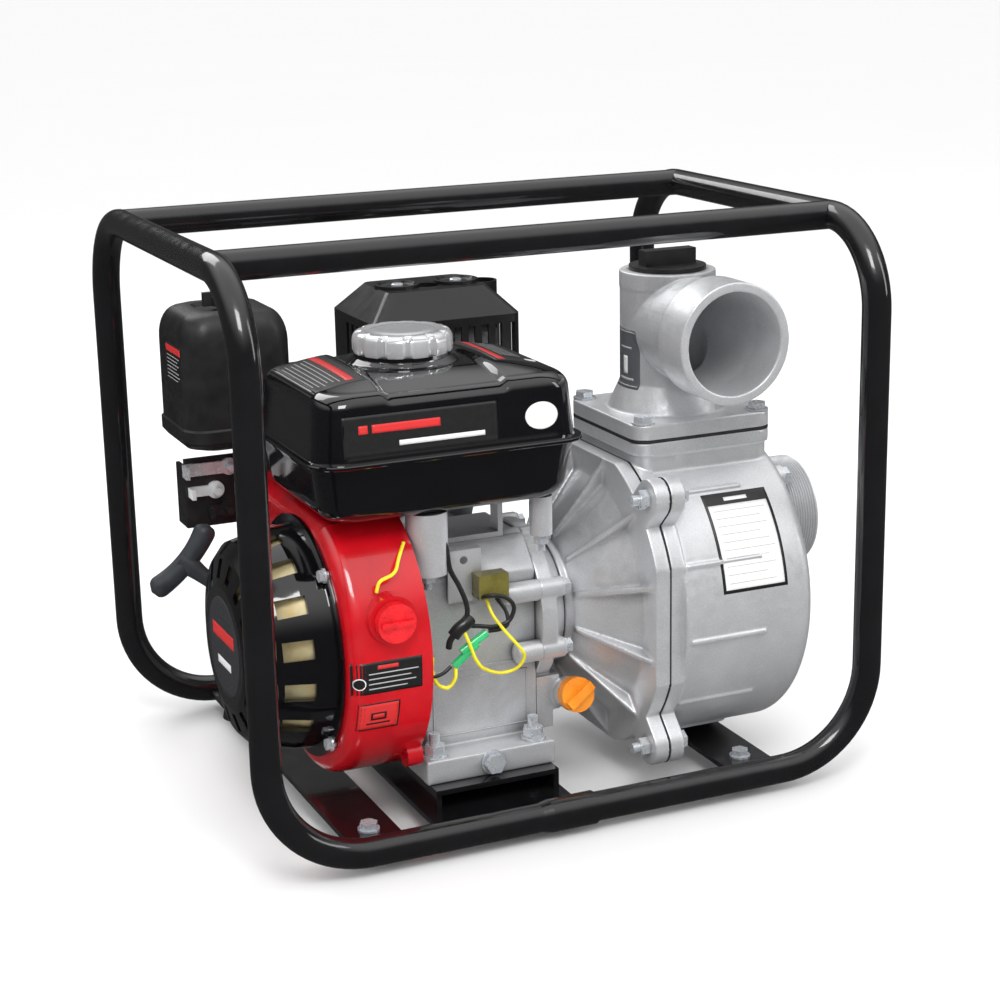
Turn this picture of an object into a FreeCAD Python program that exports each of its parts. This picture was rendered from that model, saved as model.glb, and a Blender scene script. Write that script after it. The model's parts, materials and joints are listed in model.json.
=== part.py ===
"""Engine-driven self-priming water pump in a tubular carrying frame.

Millimetres, +Z up.  The origin is the centre of the footprint at floor level.
+X runs along the crankshaft from the recoil starter to the suction port, and
-Y is the side with the stop switch, the oil filler and the discharge port.
"""
import FreeCAD, Part
import Sketcher
import math
import os
import re
from FreeCAD import Placement, Rotation, Vector

DOC = FreeCAD.newDocument("WaterPump")
SHEET = DOC.addObject("Spreadsheet::Sheet", "Dims")
SIZES = {}
PARTS = []
SHARED = {}

DIMENSIONS = {
    # carrying frame
    "tube_r": 11, "tube_wall": 2, "hoop_x": 245, "hoop_half_width": 187.5, "hoop_top_z": 434,
    "foot_drop": 6, "base_bend_r": 75, "top_bend_r": 65, "rail_y": 122, "joint_overlap": 30,
    "joint_wall": 1.6, "plate_thick": 4,
    "bar_left_x": -181, "bar_right_x": 130, "bar_wide": 42, "foot_bolt_y": 155,
    "foot_low_r": 17, "foot_top_r": 14, "mount_x": -113, "mount_wide": 113,
    "web_x": -104, "web_wide": 100, "web_top_z": 36, "web_long": 300,
    # crank axis and engine mounting studs
    "crank_y": -60, "crank_z": 142, "stud_left_x": -95, "stud_right_x": -14,
    "stud_front_y": -126, "stud_rear_y": 36, "stud_r": 4,
    # crankcase
    "case_x": -96, "case_long": 92, "case_front_y": -112, "case_top_z": 206, "case_bore_r": 44,
    "base_x": -106, "base_long": 105, "base_front_y": -138, "base_rear_y": 48, "base_top_z": 54,
    "cover_x": -4, "cover_thick": 26, "cover_r": 62, "cover_boss_r": 8, "drain_x": -53, "drain_z": 46,
    "filler_x": 21, "filler_y": -109, "filler_z": 80, "filler_long": 16, "switch_x": -139,
    "switch_z": 179, "switch_y": -164.5,
    # cylinder, inclined from the crank axis towards +Y
    "bank_angle": 25, "barrel_r": 42, "piston_r": 34, "barrel_start": 58, "barrel_end": 122,
    "fin_size": 104, "fin_thick": 2.4, "fin_pitch": 8, "head_long": 26, "rocker_long": 26,
    "bank_x": -54,
    # fan housing and recoil starter
    "fan_x": -172, "fan_long": 62, "fan_r": 106, "fan_wall": 2.5, "fan_mouth_r": 80,
    "recoil_x": -234, "recoil_rim_r": 88, "recoil_face_r": 46, "recoil_wall": 2.5,
    "pulley_x": -210, "pulley_long": 10, "pulley_r": 42, "rope_r": 2, "pull_travel": 450,
    "flywheel_x": -150, "flywheel_long": 22, "flywheel_r": 74, "shaft_r": 12.5,
    # fuel tank
    "tank_x": -187, "tank_wide": 214, "tank_y": -151, "tank_deep": 165, "tank_low_z": 243,
    "seam_z": 289, "tank_shoulder_z": 336, "tank_top_z": 346, "tank_wall": 3,
    "cap_x": -83, "cap_y": -55, "cap_r": 38, "cap_tall": 17, "neck_r": 26, "neck_bore_r": 20,
    # air cleaner, carburettor and muffler
    "cleaner_x": -216, "cleaner_wide": 92, "cleaner_y": 70, "cleaner_deep": 96, "cleaner_z": 262,
    "cleaner_top_z": 364, "muffler_x": -60, "muffler_wide": 128, "muffler_y": 62,
    "muffler_deep": 106, "muffler_z": 276, "muffler_top_z": 367,
    # pump
    "flange_x": 67, "flange_thick": 12, "flange_half": 107, "flange_bolt": 98,
    "casing_x": 92, "casing_end_x": 202, "casing_r": 120, "casing_wall": 7, "mouth_r": 100,
    "neck_x": 81, "neck_wide": 116, "neck_top_z": 271, "gasket_thick": 2,
    "elbow_plate_thick": 12, "elbow_bolt": 50, "elbow_x": 137, "elbow_r": 37, "elbow_bore_r": 31,
    "port_z": 351, "port_front_y": -166, "port_r": 46, "port_bore_r": 39, "port_long": 37,
    "prime_top_z": 393, "prime_r": 37.5, "prime_bore_r": 26, "prime_ring": 13,
    "suction_z": 185, "suction_end_x": 252, "suction_r": 44, "suction_bore_r": 38,
    "impeller_r": 66, "impeller_x": 108,
}


# ---------------------------------------------------------------- document tools
def fill_sheet():
    """Put every driving dimension in the spreadsheet under its alias."""
    for row, (alias, number) in enumerate(DIMENSIONS.items(), start=1):
        cell = "A%d" % row
        SHEET.set(cell, str(number))
        SHEET.setAlias(cell, alias)
    DOC.recompute()
    for alias in DIMENSIONS:
        SIZES[alias] = float(SHEET.get(alias))


def on_sheet(rule):
    """The rule with each alias pointed at the spreadsheet."""
    return re.sub(r"[a-z_]+[a-z0-9_]*", lambda word: "Dims." + word.group() if word.group() in SIZES
                  else word.group(), str(rule))


def bind(item, **rules):
    """Bind properties of an object to rules in the spreadsheet's aliases."""
    for name, rule in rules.items():
        item.setExpression(name, on_sheet(rule))


TURNS = {
    "x": Rotation(Vector(0, 1, 0), 90), "-x": Rotation(Vector(0, 1, 0), -90),
    "y": Rotation(Vector(1, 0, 0), -90), "-y": Rotation(Vector(1, 0, 0), 90),
    "z": Rotation(), "-z": Rotation(Vector(1, 0, 0), 180),
}


def place(item, at, turn=None):
    """Turn an object, and bind its base point to three rules."""
    if turn is not None:
        item.Placement = Placement(Vector(), turn)
    for letter, rule in zip("xyz", at):
        item.setExpression("Placement.Base." + letter, on_sheet(rule))
    return item


def box(at, size, turn=None):
    """A box from its lowest corner, sized by three rules."""
    item = DOC.addObject("Part::Box", "Box")
    bind(item, Length=size[0], Width=size[1], Height=size[2])
    return place(item, at, turn)


def cylinder(at, axis, radius, height, turn=None):
    """A cylinder from the centre of its near end."""
    item = DOC.addObject("Part::Cylinder", "Cylinder")
    bind(item, Radius=radius, Height=height)
    return place(item, at, turn or TURNS[axis])


def cone(at, axis, near_r, far_r, height):
    """A truncated cone from the centre of its near end."""
    item = DOC.addObject("Part::Cone", "Cone")
    bind(item, Radius1=near_r, Radius2=far_r, Height=height)
    return place(item, at, TURNS[axis])


def hexagon(at, axis, across, height):
    """A hexagonal prism, sized across its flats."""
    item = DOC.addObject("Part::Prism", "Hexagon")
    item.Polygon = 6
    bind(item, Circumradius="(%s) / 1.7320508" % across, Height=height)
    return place(item, at, TURNS[axis])


def fuse(*items, refine=True):
    """One solid from touching ones."""
    item = DOC.addObject("Part::MultiFuse", "Fuse")
    item.Shapes = list(items)
    item.Refine = refine
    return item


def group(*items):
    """Separate solids kept apart in one node."""
    item = DOC.addObject("Part::Compound", "Group")
    item.Links = list(items)
    return item


def cut(base, *tools, refine=True):
    """The base less one or more tools."""
    item = DOC.addObject("Part::Cut", "Cut")
    item.Base = base
    item.Tool = tools[0] if len(tools) == 1 else group(*tools)
    item.Refine = refine
    return item


def solid(shape, at=None):
    """A shape made by code, placed by rules if any are given."""
    item = DOC.addObject("Part::Feature", "Solid")
    item.Shape = shape
    return item if at is None else place(item, at)


def sub_part(label, item):
    """Name an object as one of the kept sub-parts."""
    item.Label = label
    PARTS.append((label, item))
    return item


def share(label, *items):
    """Keep repeated small pieces for the one node that they share."""
    SHARED.setdefault(label, []).extend(items)


def outline(body, role, points):
    """A closed sketch on an origin plane with every corner bound to a pair of rules."""
    plane = [feature for feature in body.Origin.OriginFeatures if feature.Role == role][0]
    sketch = body.newObject("Sketcher::SketchObject", "Outline")
    sketch.AttachmentSupport = [(plane, "")]
    sketch.MapMode = "FlatFace"
    count = len(points)
    places = [Vector(10 * math.cos(2 * math.pi * index / count),
                     10 * math.sin(2 * math.pi * index / count)) for index in range(count)]
    for index in range(count):
        sketch.addGeometry(Part.LineSegment(places[index], places[(index + 1) % count]), False)
    for index in range(count):
        sketch.addConstraint(Sketcher.Constraint("Coincident", index, 2, (index + 1) % count, 1))
    for index, corner in enumerate(points):
        for kind, rule in zip(("DistanceX", "DistanceY"), corner):
            number = sketch.addConstraint(Sketcher.Constraint(kind, -1, 1, index, 1, 1.0))
            sketch.setExpression("Constraints[%d]" % number, on_sheet(rule))
    return sketch


def edges_along(feature, direction, length_over=0):
    """Names of the straight edges that run along a direction."""
    names = []
    for index, edge in enumerate(feature.Shape.Edges, start=1):
        if edge.Curve.TypeId != "Part::GeomLine":
            continue
        if edge.Length > length_over and abs(edge.tangentAt(edge.FirstParameter).dot(direction)) > 0.999:
            names.append("Edge%d" % index)
    return names


def padded(role, points, length, at=("0", "0", "0"), corner_r=None, turn=None):
    """A body padded from an outline, with its long edges rounded."""
    body = DOC.addObject("PartDesign::Body", "Body")
    pad = body.newObject("PartDesign::Pad", "Pad")
    pad.Profile = outline(body, role, points)
    bind(pad, Length=length)
    if corner_r is not None:
        DOC.recompute()
        direction = {"YZ_Plane": Vector(1, 0, 0), "XZ_Plane": Vector(0, 1, 0),
                     "XY_Plane": Vector(0, 0, 1)}[role]
        fillet = body.newObject("PartDesign::Fillet", "Fillet")
        fillet.Base = (pad, edges_along(pad, direction))
        bind(fillet, Radius=corner_r)
    return place(body, at, turn)


def turned(points, at, turn=None):
    """A body revolved about the X axis from an outline of (x, radius) rules."""
    body = DOC.addObject("PartDesign::Body", "Body")
    sketch = outline(body, "XY_Plane", points)
    revolution = body.newObject("PartDesign::Revolution", "Revolution")
    revolution.Profile = sketch
    revolution.ReferenceAxis = (sketch, ["H_Axis"])
    revolution.Angle = 360
    return place(body, at, turn)


def rounded_rectangle(x, y, z, wide, deep, corner_r):
    """A level wire with round corners, from its lowest corner."""
    far_x = x + wide
    far_y = y + deep
    diagonal = corner_r * (1 - math.sqrt(0.5))
    straights = [((x + corner_r, y), (far_x - corner_r, y)), ((far_x, y + corner_r), (far_x, far_y - corner_r)),
                 ((far_x - corner_r, far_y), (x + corner_r, far_y)), ((x, far_y - corner_r), (x, y + corner_r))]
    middles = [(far_x - diagonal, y + diagonal), (far_x - diagonal, far_y - diagonal),
               (x + diagonal, far_y - diagonal), (x + diagonal, y + diagonal)]
    edges = []
    for index, (start, end) in enumerate(straights):
        after = straights[(index + 1) % 4][0]
        edges.append(Part.LineSegment(Vector(*start, z), Vector(*end, z)).toShape())
        edges.append(Part.Arc(Vector(*end, z), Vector(*middles[index], z), Vector(*after, z)).toShape())
    return Part.Wire(edges)


def bent_path(points, radii):
    """Straight runs through the points, joined by tangent arcs of the given radii."""
    edges = []
    start = points[0]
    for before, corner, after, radius in zip(points, points[1:], points[2:], radii):
        inward = (before - corner).normalize()
        outward = (after - corner).normalize()
        half_turn = (math.pi - inward.getAngle(outward)) / 2
        reach = radius * math.tan(half_turn)
        bisector = (inward + outward).normalize()
        middle = corner + bisector * (radius / math.cos(half_turn) - radius)
        first = corner + inward * reach
        last = corner + outward * reach
        edges.append(Part.LineSegment(start, first).toShape())
        edges.append(Part.Arc(first, middle, last).toShape())
        start = last
    edges.append(Part.LineSegment(start, points[-1]).toShape())
    return Part.Wire(edges)


def rod_along(path, radius):
    """A round solid swept along a path of runs and arcs."""
    first = path.Edges[0]
    section = Part.Wire(Part.makeCircle(radius, first.valueAt(first.FirstParameter),
                                        first.tangentAt(first.FirstParameter)))
    return path.makePipeShell([section], True, False)


def hose(points, radius, bend_r=None):
    """A cord's solid along points, its arcs as large as the runs beside them allow."""
    radii = []
    for before, corner, after in zip(points, points[1:], points[2:]):
        half_turn = (math.pi - (before - corner).getAngle(after - corner)) / 2
        shorter = min((before - corner).Length, (after - corner).Length)
        radii.append(bend_r or 0.45 * shorter / math.tan(half_turn))
    print("arc radii", [round(value, 1) for value in radii])
    return rod_along(bent_path(points, radii), radius)


def flange_bolt(at, axis, shank_r, length, across, head_tall):
    """A hexagon bolt with a washer face, its seat at the given point and its head along axis."""
    back = {"x": "-x", "-x": "x", "y": "-y", "-y": "y", "z": "-z", "-z": "z"}[axis]
    return fuse(cylinder(at, axis, "(%s) * 0.68" % across, "1.5"),
                hexagon(at, axis, across, head_tall),
                cylinder(at, back, shank_r, length))


def offset(at, axis, distance):
    """A point's rules moved along an axis."""
    sign = "-" if axis.startswith("-") else "+"
    letters = {"x": 0, "y": 1, "z": 2}
    moved = list(at)
    moved[letters[axis[-1]]] = "%s %s (%s)" % (moved[letters[axis[-1]]], sign, distance)
    return tuple(moved)


fill_sheet()
CRANK = ("0", "crank_y", "crank_z")
TUBE_Z = "tube_r + foot_drop"
PLATE_TOP = "tube_r + foot_drop + plate_thick / 2"


# ---------------------------------------------------------------- carrying frame
def hoop_path(side, inner_x):
    """The centreline of one hoop: along the floor, up, over the top and back."""
    half = SIZES["hoop_half_width"]
    low = SIZES["tube_r"] + SIZES["foot_drop"]
    top = SIZES["hoop_top_z"]
    outer_x = side * SIZES["hoop_x"]
    points = [Vector(inner_x, -half, low), Vector(outer_x, -half, low), Vector(outer_x, -half, top),
              Vector(outer_x, half, top), Vector(outer_x, half, low), Vector(inner_x, half, low)]
    bends = [SIZES["base_bend_r"], SIZES["top_bend_r"], SIZES["top_bend_r"], SIZES["base_bend_r"]]
    return bent_path(points, bends)


def hoop(side, inner_x):
    """A bent tube hoop with its real wall."""
    path = hoop_path(side, inner_x)
    outer = rod_along(path, SIZES["tube_r"])
    inner = rod_along(path, SIZES["tube_r"] - SIZES["tube_wall"])
    return solid(outer.cut(inner))


def make_frame():
    """Two hoops plugged together at the floor, two top rails and the cross plates."""
    half = "hoop_half_width"
    sockets = []
    for sign in ("-", ""):
        start = ("-joint_overlap - 8", sign + half, TUBE_Z)
        shell = fuse(cylinder(("-joint_overlap", sign + half, TUBE_Z), "x", "tube_r + joint_wall",
                              "joint_overlap + 6"),
                     cone(start, "x", "tube_r + 0.02", "tube_r + joint_wall", "8"))
        sockets.append(cut(shell, cylinder(("-joint_overlap - 12", sign + half, TUBE_Z), "x", "tube_r + 0.02",
                                           "joint_overlap + 30")))
    sub_part("frame_left_hoop", hoop(-1, -SIZES["joint_overlap"] / 2))
    sub_part("frame_right_hoop", hoop(1, -SIZES["joint_overlap"] / 2 + 0.1))
    sub_part("frame_joint_sleeves", group(*sockets))
    for sign in ("-", ""):
        at = ("-hoop_x", sign + "rail_y", "hoop_top_z")
        copes = [cylinder((end, "-hoop_half_width", "hoop_top_z"), "y", "tube_r + 0.02", "2 * hoop_half_width")
                 for end in ("-hoop_x", "hoop_x")]
        bore = cylinder(at, "x", "tube_r - tube_wall", "2 * hoop_x")
        share("top_rails", cut(cylinder(at, "x", "tube_r", "2 * hoop_x"), bore, *copes))
    plate_y = "-(hoop_half_width - tube_r)"
    plate_deep = "2 * (hoop_half_width - tube_r)"
    plate_z = "tube_r + foot_drop - plate_thick / 2"
    for left in ("bar_left_x", "bar_right_x"):
        plate = box((left, plate_y, plate_z), ("bar_wide", plate_deep, "plate_thick"))
        holes = [cylinder((left + " + bar_wide / 2", sign + "foot_bolt_y", "foot_drop"), "z", "stud_r + 0.3", "30")
                 for sign in ("-", "")]
        share("crossbars", cut(plate, *holes))
    sub_part("engine_base_plate", box(("mount_x", plate_y + " + 1.7", plate_z),
                                     ("mount_wide", plate_deep + " - 3.4", "plate_thick")))
    inner = "web_wide - plate_thick"
    profile = [("0", "0"), ("0", "web_top_z - (%s)" % PLATE_TOP), ("web_wide", "web_top_z - (%s)" % PLATE_TOP),
               ("web_wide", "0"), (inner, "0"), (inner, "web_top_z - (%s) - plate_thick" % PLATE_TOP),
               ("plate_thick", "web_top_z - (%s) - plate_thick" % PLATE_TOP), ("plate_thick", "0")]
    web = padded("XZ_Plane", profile, "web_long", ("web_x", "web_long / 2", PLATE_TOP))
    studs = [cylinder((x, y, "20"), "z", "stud_r + 0.3", "40") for x in ("stud_left_x", "stud_right_x")
             for y in ("stud_front_y", "stud_rear_y")]
    sub_part("engine_mount_channel", cut(web, *studs))
    for left in ("bar_left_x", "bar_right_x"):
        for sign in ("-", ""):
            x = left + " + bar_wide / 2"
            y = sign + "foot_bolt_y"
            pad = cone((x, y, "0"), "z", "foot_low_r", "foot_top_r", plate_z)
            share("rubber_feet", cut(pad, cylinder((x, y, "3"), "z", "stud_r + 0.05", "20"),
                                     cylinder((x, y, "0"), "z", "8", "5")))
            share("frame_bolts", flange_bolt((x, y, PLATE_TOP), "z", "stud_r", "13.5", "12", "6"))


# ---------------------------------------------------------------- engine
BANK = Rotation(Vector(1, 0, 0), SIZES["bank_angle"] - 90)


def bank_point(along, across=0.0, x=None):
    """A point on the inclined cylinder's axis, at a distance from the crank axis."""
    base = Vector(SIZES["bank_x"] if x is None else x, SIZES["crank_y"], SIZES["crank_z"])
    return base + BANK.multVec(Vector(0, across, along))


def bank_item(item, along, across=0.0, x=None):
    """Stand an object on the cylinder's axis."""
    item.Placement = Placement(bank_point(along, across, x), BANK)
    return item


def make_crankcase():
    """The cast crankcase on its base, its side cover and what is bolted to them."""
    base = box(("base_x", "base_front_y", "web_top_z"),
               ("base_long", "base_rear_y - base_front_y", "base_top_z - web_top_z"))
    profile = [("case_front_y", "base_top_z - 6"), ("case_front_y", "case_top_z - 22"),
               ("case_front_y + 20", "case_top_z"), ("-20", "case_top_z"), ("8", "case_top_z - 34"),
               ("26", "base_top_z + 34"), ("26", "base_top_z - 6")]
    body = padded("YZ_Plane", profile, "case_long", ("case_x", "0", "0"), "7")
    cylinder_clear = bank_item(solid(Part.makeCylinder(SIZES["barrel_r"] + 0.1, 90)), SIZES["barrel_start"])
    chamber = cylinder(("case_x + 6", "crank_y", "crank_z"), "x", "case_bore_r", "case_long - 6")
    shaft_way = cylinder(("case_x - 2", "crank_y", "crank_z"), "x", "shaft_r + 0.05", "20")
    stud_holes = [cylinder((x, y, "web_top_z - 1"), "z", "stud_r + 0.3", "30")
                  for x in ("stud_left_x", "stud_right_x") for y in ("stud_front_y", "stud_rear_y")]
    clearances = [cylinder((x, "stud_front_y", "base_top_z"), "z", "10.5", "16")
                  for x in ("stud_left_x", "stud_right_x")]
    drain_hole = cylinder(("drain_x", "base_front_y - 1", "drain_z"), "y", "5.05", "18")
    plain = fuse(base, body)
    opened = cut(plain, cylinder_clear, refine=False)
    ways = [chamber, shaft_way, drain_hole] + stud_holes + clearances
    sub_part("crankcase", cut(opened, *ways, refine=False))
    share("engine_bolts", flange_bolt(("drain_x", "base_front_y", "drain_z"), "-y", "5", "15", "14", "7"))
    for x in ("stud_left_x", "stud_right_x"):
        for y in ("stud_front_y", "stud_rear_y"):
            seat = (x, y, "base_top_z")
            rod = cylinder((x, y, "web_top_z - plate_thick - 4"), "z", "stud_r",
                           "base_top_z - web_top_z + plate_thick + 22")
            share("frame_bolts", fuse(cylinder(seat, "z", "9.5", "2"), hexagon(seat, "z", "14", "9"), rod))


FILLER_TILT = Rotation(Vector(1, 0, 0), 78)


def make_side_cover():
    """The crankcase side cover with its ring of bolt bosses and the oil filler."""
    disc = [("0", "shaft_r + 0.05"), ("0", "cover_r + 4"), ("12", "cover_r + 4"), ("18", "cover_r - 5.5"),
            ("cover_thick", "cover_r - 13"), ("cover_thick", "shaft_r + 0.05")]
    body = turned(disc, ("cover_x", "crank_y", "crank_z"))
    bosses = []
    for angle in range(20, 380, 45):
        y = "crank_y + cover_r * cos(%d)" % angle
        z = "crank_z + cover_r * sin(%d)" % angle
        bosses.append(cylinder(("cover_x", y, z), "x", "cover_boss_r", "cover_thick - 6"))
        share("engine_bolts", flange_bolt(("cover_x + cover_thick - 6", y, z), "x", "2.9", "10", "10", "6"))
    foot = box(("cover_x", "crank_y - 52", "base_top_z"), ("14", "104", "32"))
    filler = cylinder(("filler_x", "filler_y", "filler_z"), "y", "12", "filler_long", FILLER_TILT)
    web = box(("cover_x", "-112", "68"), ("19.8", "54", "28"))
    holes = [cylinder(("cover_x + cover_thick - 18", "crank_y + cover_r * cos(%d)" % angle,
                       "crank_z + cover_r * sin(%d)" % angle), "x", "2.95", "14") for angle in range(20, 380, 45)]
    bore = cylinder(("filler_x", "filler_y + 60 * sin(78)", "filler_z - 60 * cos(78)"), "y", "7.6", "130",
                    FILLER_TILT)
    inside = cylinder(("cover_x - 1", "crank_y", "crank_z"), "x", "case_bore_r", "6")
    whole = fuse(body, foot, web, filler, *bosses)
    sub_part("crankcase_cover", cut(whole, inside, bore, *holes,
                                    cylinder(("cover_x - 1", "crank_y", "crank_z"), "x", "shaft_r + 0.05", "60")))


def make_dipstick():
    """The oil filler cap with its finger wing and its measuring rod."""
    mouth = Vector(SIZES["filler_x"], SIZES["filler_y"], SIZES["filler_z"])
    base = mouth + FILLER_TILT.multVec(Vector(0, 0, SIZES["filler_long"] + 0.4))
    pieces = [Part.makeCylinder(13.5, 9), Part.makeBox(25, 7, 15, Vector(-12.5, -3.5, 0)),
              Part.makeCylinder(7.5, 12, Vector(0, 0, -12)), Part.makeCylinder(3, 52, Vector(0, 0, -52))]
    shape = pieces[0].multiFuse(pieces[1:]).removeSplitter()
    item = solid(shape)
    item.Placement = Placement(base, FILLER_TILT.multiply(Rotation(Vector(0, 0, 1), 35)))
    sub_part("dipstick", item)


def make_cylinder():
    """The finned barrel, the head, the rocker cover and the spark plug."""
    start = SIZES["barrel_start"]
    end = SIZES["barrel_end"]
    size = SIZES["fin_size"]
    barrel = Part.makeCylinder(SIZES["barrel_r"], end - start)
    fins = [Part.makeBox(size * 0.88, size * 0.8, SIZES["fin_thick"], Vector(-size * 0.44, -size * 0.4, level))
            for level in range(18, int(end - start), int(SIZES["fin_pitch"]))]
    bore = Part.makeCylinder(SIZES["piston_r"], end - start + 2, Vector(0, 0, -1))
    block = barrel.multiFuse(fins).cut(bore)
    item = solid(block)
    item.Placement = Placement(bank_point(start), BANK)
    sub_part("cylinder_barrel", item)
    head = Part.makeBox(size * 0.92, size * 0.84, SIZES["head_long"], Vector(-size * 0.46, -size * 0.42, 0))
    head = head.makeFillet(6, [edge for edge in head.Edges if abs(edge.tangentAt(0).z) > 0.99])
    plug_hole = Part.makeCylinder(7.1, 30, Vector(-24, 0, 12), Vector(-0.5, 0, 0.86))
    item = solid(head.cut(plug_hole))
    item.Placement = Placement(bank_point(end), BANK)
    sub_part("cylinder_head", item)
    cover_z = end + SIZES["head_long"]
    cover = Part.makeBox(64, 50, SIZES["rocker_long"], Vector(-20, -25, 0))
    cover = cover.makeFillet(8, [edge for edge in cover.Edges if edge.BoundBox.ZMax > 1])
    item = solid(cover)
    item.Placement = Placement(bank_point(cover_z), BANK)
    sub_part("rocker_cover", item)
    along = Vector(-0.5, 0, 0.86)
    plug = Part.makeCylinder(7, 16, Vector(-24, 0, 12), along)
    porcelain = Part.makeCylinder(6, 22, Vector(-24, 0, 12) + along * 16, along)
    item = solid(plug.fuse(porcelain))
    item.Placement = Placement(bank_point(end), BANK)
    sub_part("spark_plug", item)


def fan_outline(inset):
    """The fan housing's outline in Y and Z: a circle about the crank with a duct to the cylinder."""
    radius = SIZES["fan_r"] - inset
    y = SIZES["crank_y"]
    z = SIZES["crank_z"]
    top = SIZES["tank_low_z"] - 5 - inset
    rear = 62 - inset
    circle = Part.Face(Part.Wire(Part.makeCircle(radius, Vector(0, y, z), Vector(1, 0, 0))))
    low = Part.makePolygon([Vector(0, y, z - radius), Vector(0, rear, z - 10), Vector(0, rear, top),
                            Vector(0, y + 10, top), Vector(0, y, z - radius)])
    ceiling = Part.makePolygon([Vector(0, y - 130, top), Vector(0, y + 130, top), Vector(0, y + 130, top + 60),
                                Vector(0, y - 130, top + 60), Vector(0, y - 130, top)])
    return circle.fuse(Part.Face(low)).cut(Part.Face(ceiling)).removeSplitter()


def make_fan_housing():
    """The pressed fan housing with a rounded front edge, open towards the cylinder."""
    long = SIZES["fan_long"]
    x = SIZES["fan_x"]
    wall = SIZES["fan_wall"]
    outer = fan_outline(0).extrude(Vector(long, 0, 0))
    outer.translate(Vector(x, 0, 0))
    rim = [edge for edge in outer.Edges if edge.BoundBox.XMax < x + 0.1]
    outer = outer.makeFillet(11, rim)
    inner = fan_outline(wall).extrude(Vector(long, 0, 0))
    inner.translate(Vector(x + wall, 0, 0))
    rim = [edge for edge in inner.Edges if edge.BoundBox.XMax < x + wall + 0.1]
    inner = inner.makeFillet(9, rim)
    axis = Vector(1, 0, 0)
    mouth = Part.makeCylinder(SIZES["fan_mouth_r"], 20, Vector(x - 5, SIZES["crank_y"], SIZES["crank_z"]), axis)
    forward = Vector(0, -1, 0)
    seat = Vector(SIZES["switch_x"], SIZES["switch_y"], SIZES["switch_z"])
    boss = Part.makeCylinder(18, 22, seat - forward * 22, forward)
    switch_hole = Part.makeCylinder(9, 60, seat - forward * 40, forward)
    shell = outer.cut(inner).fuse(boss).cut(mouth).cut(switch_hole)
    bolts = []
    for y, z in ((-150, 172), (-132, 62), (-20, 229)):
        bolts.append(Part.makeCylinder(9, 12, Vector(x + long - 12, y, z), axis))
    lugs = [lug.common(Part.makeBox(12, 400, 400, Vector(x + long - 12, -200, 20))) for lug in bolts]
    shell = shell.multiFuse(lugs)
    holes = [Part.makeCylinder(3.1, 30, Vector(x + long - 20, y, z), axis)
             for y, z in ((-150, 172), (-132, 62), (-20, 229))]
    sub_part("fan_housing", solid(shell.cut(Part.makeCompound(holes)).removeSplitter()))


def make_switch():
    """The rotary stop switch: a fixed boss with a turning red knob."""
    seat = ("switch_x", "switch_y", "switch_z")
    body = cylinder(offset(seat, "y", "26"), "-y", "8.8", "26")
    sub_part("switch_body", cut(body, cylinder(offset(seat, "y", "10"), "-y", "3.05", "12")))
    knob = fuse(cylinder(offset(seat, "-y", "0.4"), "-y", "14.5", "8"),
                cylinder(offset(seat, "y", "9"), "-y", "3", "10"),
                box(offset(offset(offset(seat, "-y", "11"), "-x", "12"), "-z", "2"), ("24", "3", "4")))
    sub_part("switch_knob", knob)


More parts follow.
